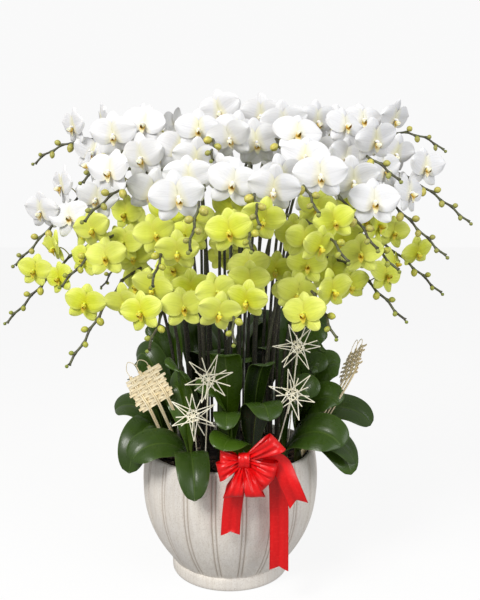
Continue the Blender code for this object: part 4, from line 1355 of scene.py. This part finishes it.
def build_fans():
    for number, (name, fan) in enumerate(FANS.items()):
        draw = np.random.default_rng(40 + number)
        centre = np.array(fan.centre)
        slat = unit_rows(np.array(fan.slat))
        stack = np.array(fan.stack)
        stack = unit_rows(stack - (stack @ slat) * slat)
        shape = Shape()
        add_slats(shape, draw, centre, slat, stack)
        add_handles(shape, draw, centre, slat, stack, np.array((*fan.foot, STICK_FOOT - 0.004)))
        add_hangers(shape, centre, slat, stack)
        shape.piece(f"{name}_slats", ["bamboo"], [name])


# Support stakes

STAKE_WIRE_RADIUS = 0.0014
HOOK_RADIUS = 0.004


def build_stakes():
    """Thin wires, not quite straight, each with a small hook at its top."""
    for number, (foot, top) in enumerate(SUPPORT_STAKES, 1):
        low = foot - 0.006 * UP
        bow = 0.004 * Vector((wobble(number), 0.0, 0.0))
        high = Vector((foot.x, foot.y, top))
        path = smooth_line((low, low.lerp(high, 0.33) + bow, low.lerp(high, 0.66) - bow, high), 8)
        for angle in np.linspace(0.0, 4.2, 9)[1:]:
            path.append(high + HOOK_RADIUS * Vector((math.sin(angle), 0.0, math.cos(angle) - 1.0)))
        shape = Shape()
        tube(shape, path, STAKE_WIRE_RADIUS, 8)
        shape.piece(f"support_stake_{number}_wire", ["wire"], [f"support_stake_{number}"])


# Floor, light and camera

FLOOR_REACH = 30.0
FLOOR_GLOW = 0.86
BACKDROP = (0.95, 0.95, 0.95, 1.0)
ROOM_LIGHT = (1.0, 0.99, 0.98, 1.0)
ROOM_STRENGTH = 0.50
LIGHT_AIM = (0.0, -0.05, 0.55)
CAMERA_PLACE = (0.0224, -1.5, 0.772)
CAMERA_DOWN = math.radians(5.9)
LENS = 40.2
SENSOR = 36.0


def add_light(name, place, size, energy, colour):
    light = bpy.data.lights.new(name, "AREA")
    light.shape = "DISK"
    light.size = size
    light.energy = energy
    light.color = colour
    lamp = bpy.data.objects.new(name, light)
    lamp.location = place
    lamp.rotation_euler = (Vector(LIGHT_AIM) - Vector(place)).to_track_quat("-Z", "Y").to_euler()
    bpy.context.scene.collection.objects.link(lamp)


def build_floor():
    """Pale paper that glows a little, so that it meets the backdrop without a line."""
    far = FLOOR_REACH
    mesh = bpy.data.meshes.new("studio_floor")
    mesh.from_pydata([(-far, -far, 0), (far, -far, 0), (far, far, 0), (-far, far, 0)], [], [(0, 1, 2, 3)])
    floor = bpy.data.objects.new("studio_floor", mesh)
    bpy.context.scene.collection.objects.link(floor)
    look = Look("studio_paper", shade(100, 100, 100), Roughness=0.9, Specular_IOR_Level=0.0)
    look.layer(shade(103, 103, 103), look.noise(look.place(), 3.0))
    glow = look.ranged(look.node("LightPath"), 0.0, 1.0, 0.35 * FLOOR_GLOW, FLOOR_GLOW)
    mesh.materials.append(look.done(Emission_Color=shade(255, 255, 255), Emission_Strength=glow))


def build_backdrop():
    """A pale backdrop that the camera sees, with a softer light of its own on the object."""
    world = bpy.data.worlds.new("studio")
    bpy.context.scene.world = world
    world.use_nodes = True
    tree = world.node_tree
    backdrop = tree.nodes["Background"]
    backdrop.inputs["Color"].default_value = BACKDROP
    room = tree.nodes.new("ShaderNodeBackground")
    room.inputs["Color"].default_value = ROOM_LIGHT
    room.inputs["Strength"].default_value = ROOM_STRENGTH
    ray = tree.nodes.new("ShaderNodeLightPath")
    mix = tree.nodes.new("ShaderNodeMixShader")
    tree.links.new(ray.outputs["Is Camera Ray"], mix.inputs[0])
    tree.links.new(room.outputs[0], mix.inputs[1])
    tree.links.new(backdrop.outputs[0], mix.inputs[2])
    tree.links.new(mix.outputs[0], tree.nodes["World Output"].inputs["Surface"])


def build_camera():
    data = bpy.data.cameras.new("camera")
    data.sensor_width = SENSOR
    data.lens = LENS
    camera = bpy.data.objects.new("camera", data)
    camera.location = CAMERA_PLACE
    camera.rotation_euler = (math.pi / 2 - CAMERA_DOWN, 0.0, 0.0)
    bpy.context.scene.collection.objects.link(camera)
    bpy.context.scene.camera = camera


build_spikes()
build_leaves()
build_pot()
build_medium()
build_bow()
build_tails()
build_pick()
build_stars()
build_fans()
build_stakes()
build_floor()
build_backdrop()
add_light("key", (-1.4, -2.2, 2.6), size=1.2, energy=80.0, colour=(1.0, 0.985, 0.96))
add_light("fill", (2.2, -2.0, 1.7), size=1.8, energy=32.0, colour=(0.96, 0.98, 1.0))
build_camera()
bpy.context.scene.view_settings.view_transform = "Standard"

bpy.context.view_layer.update()
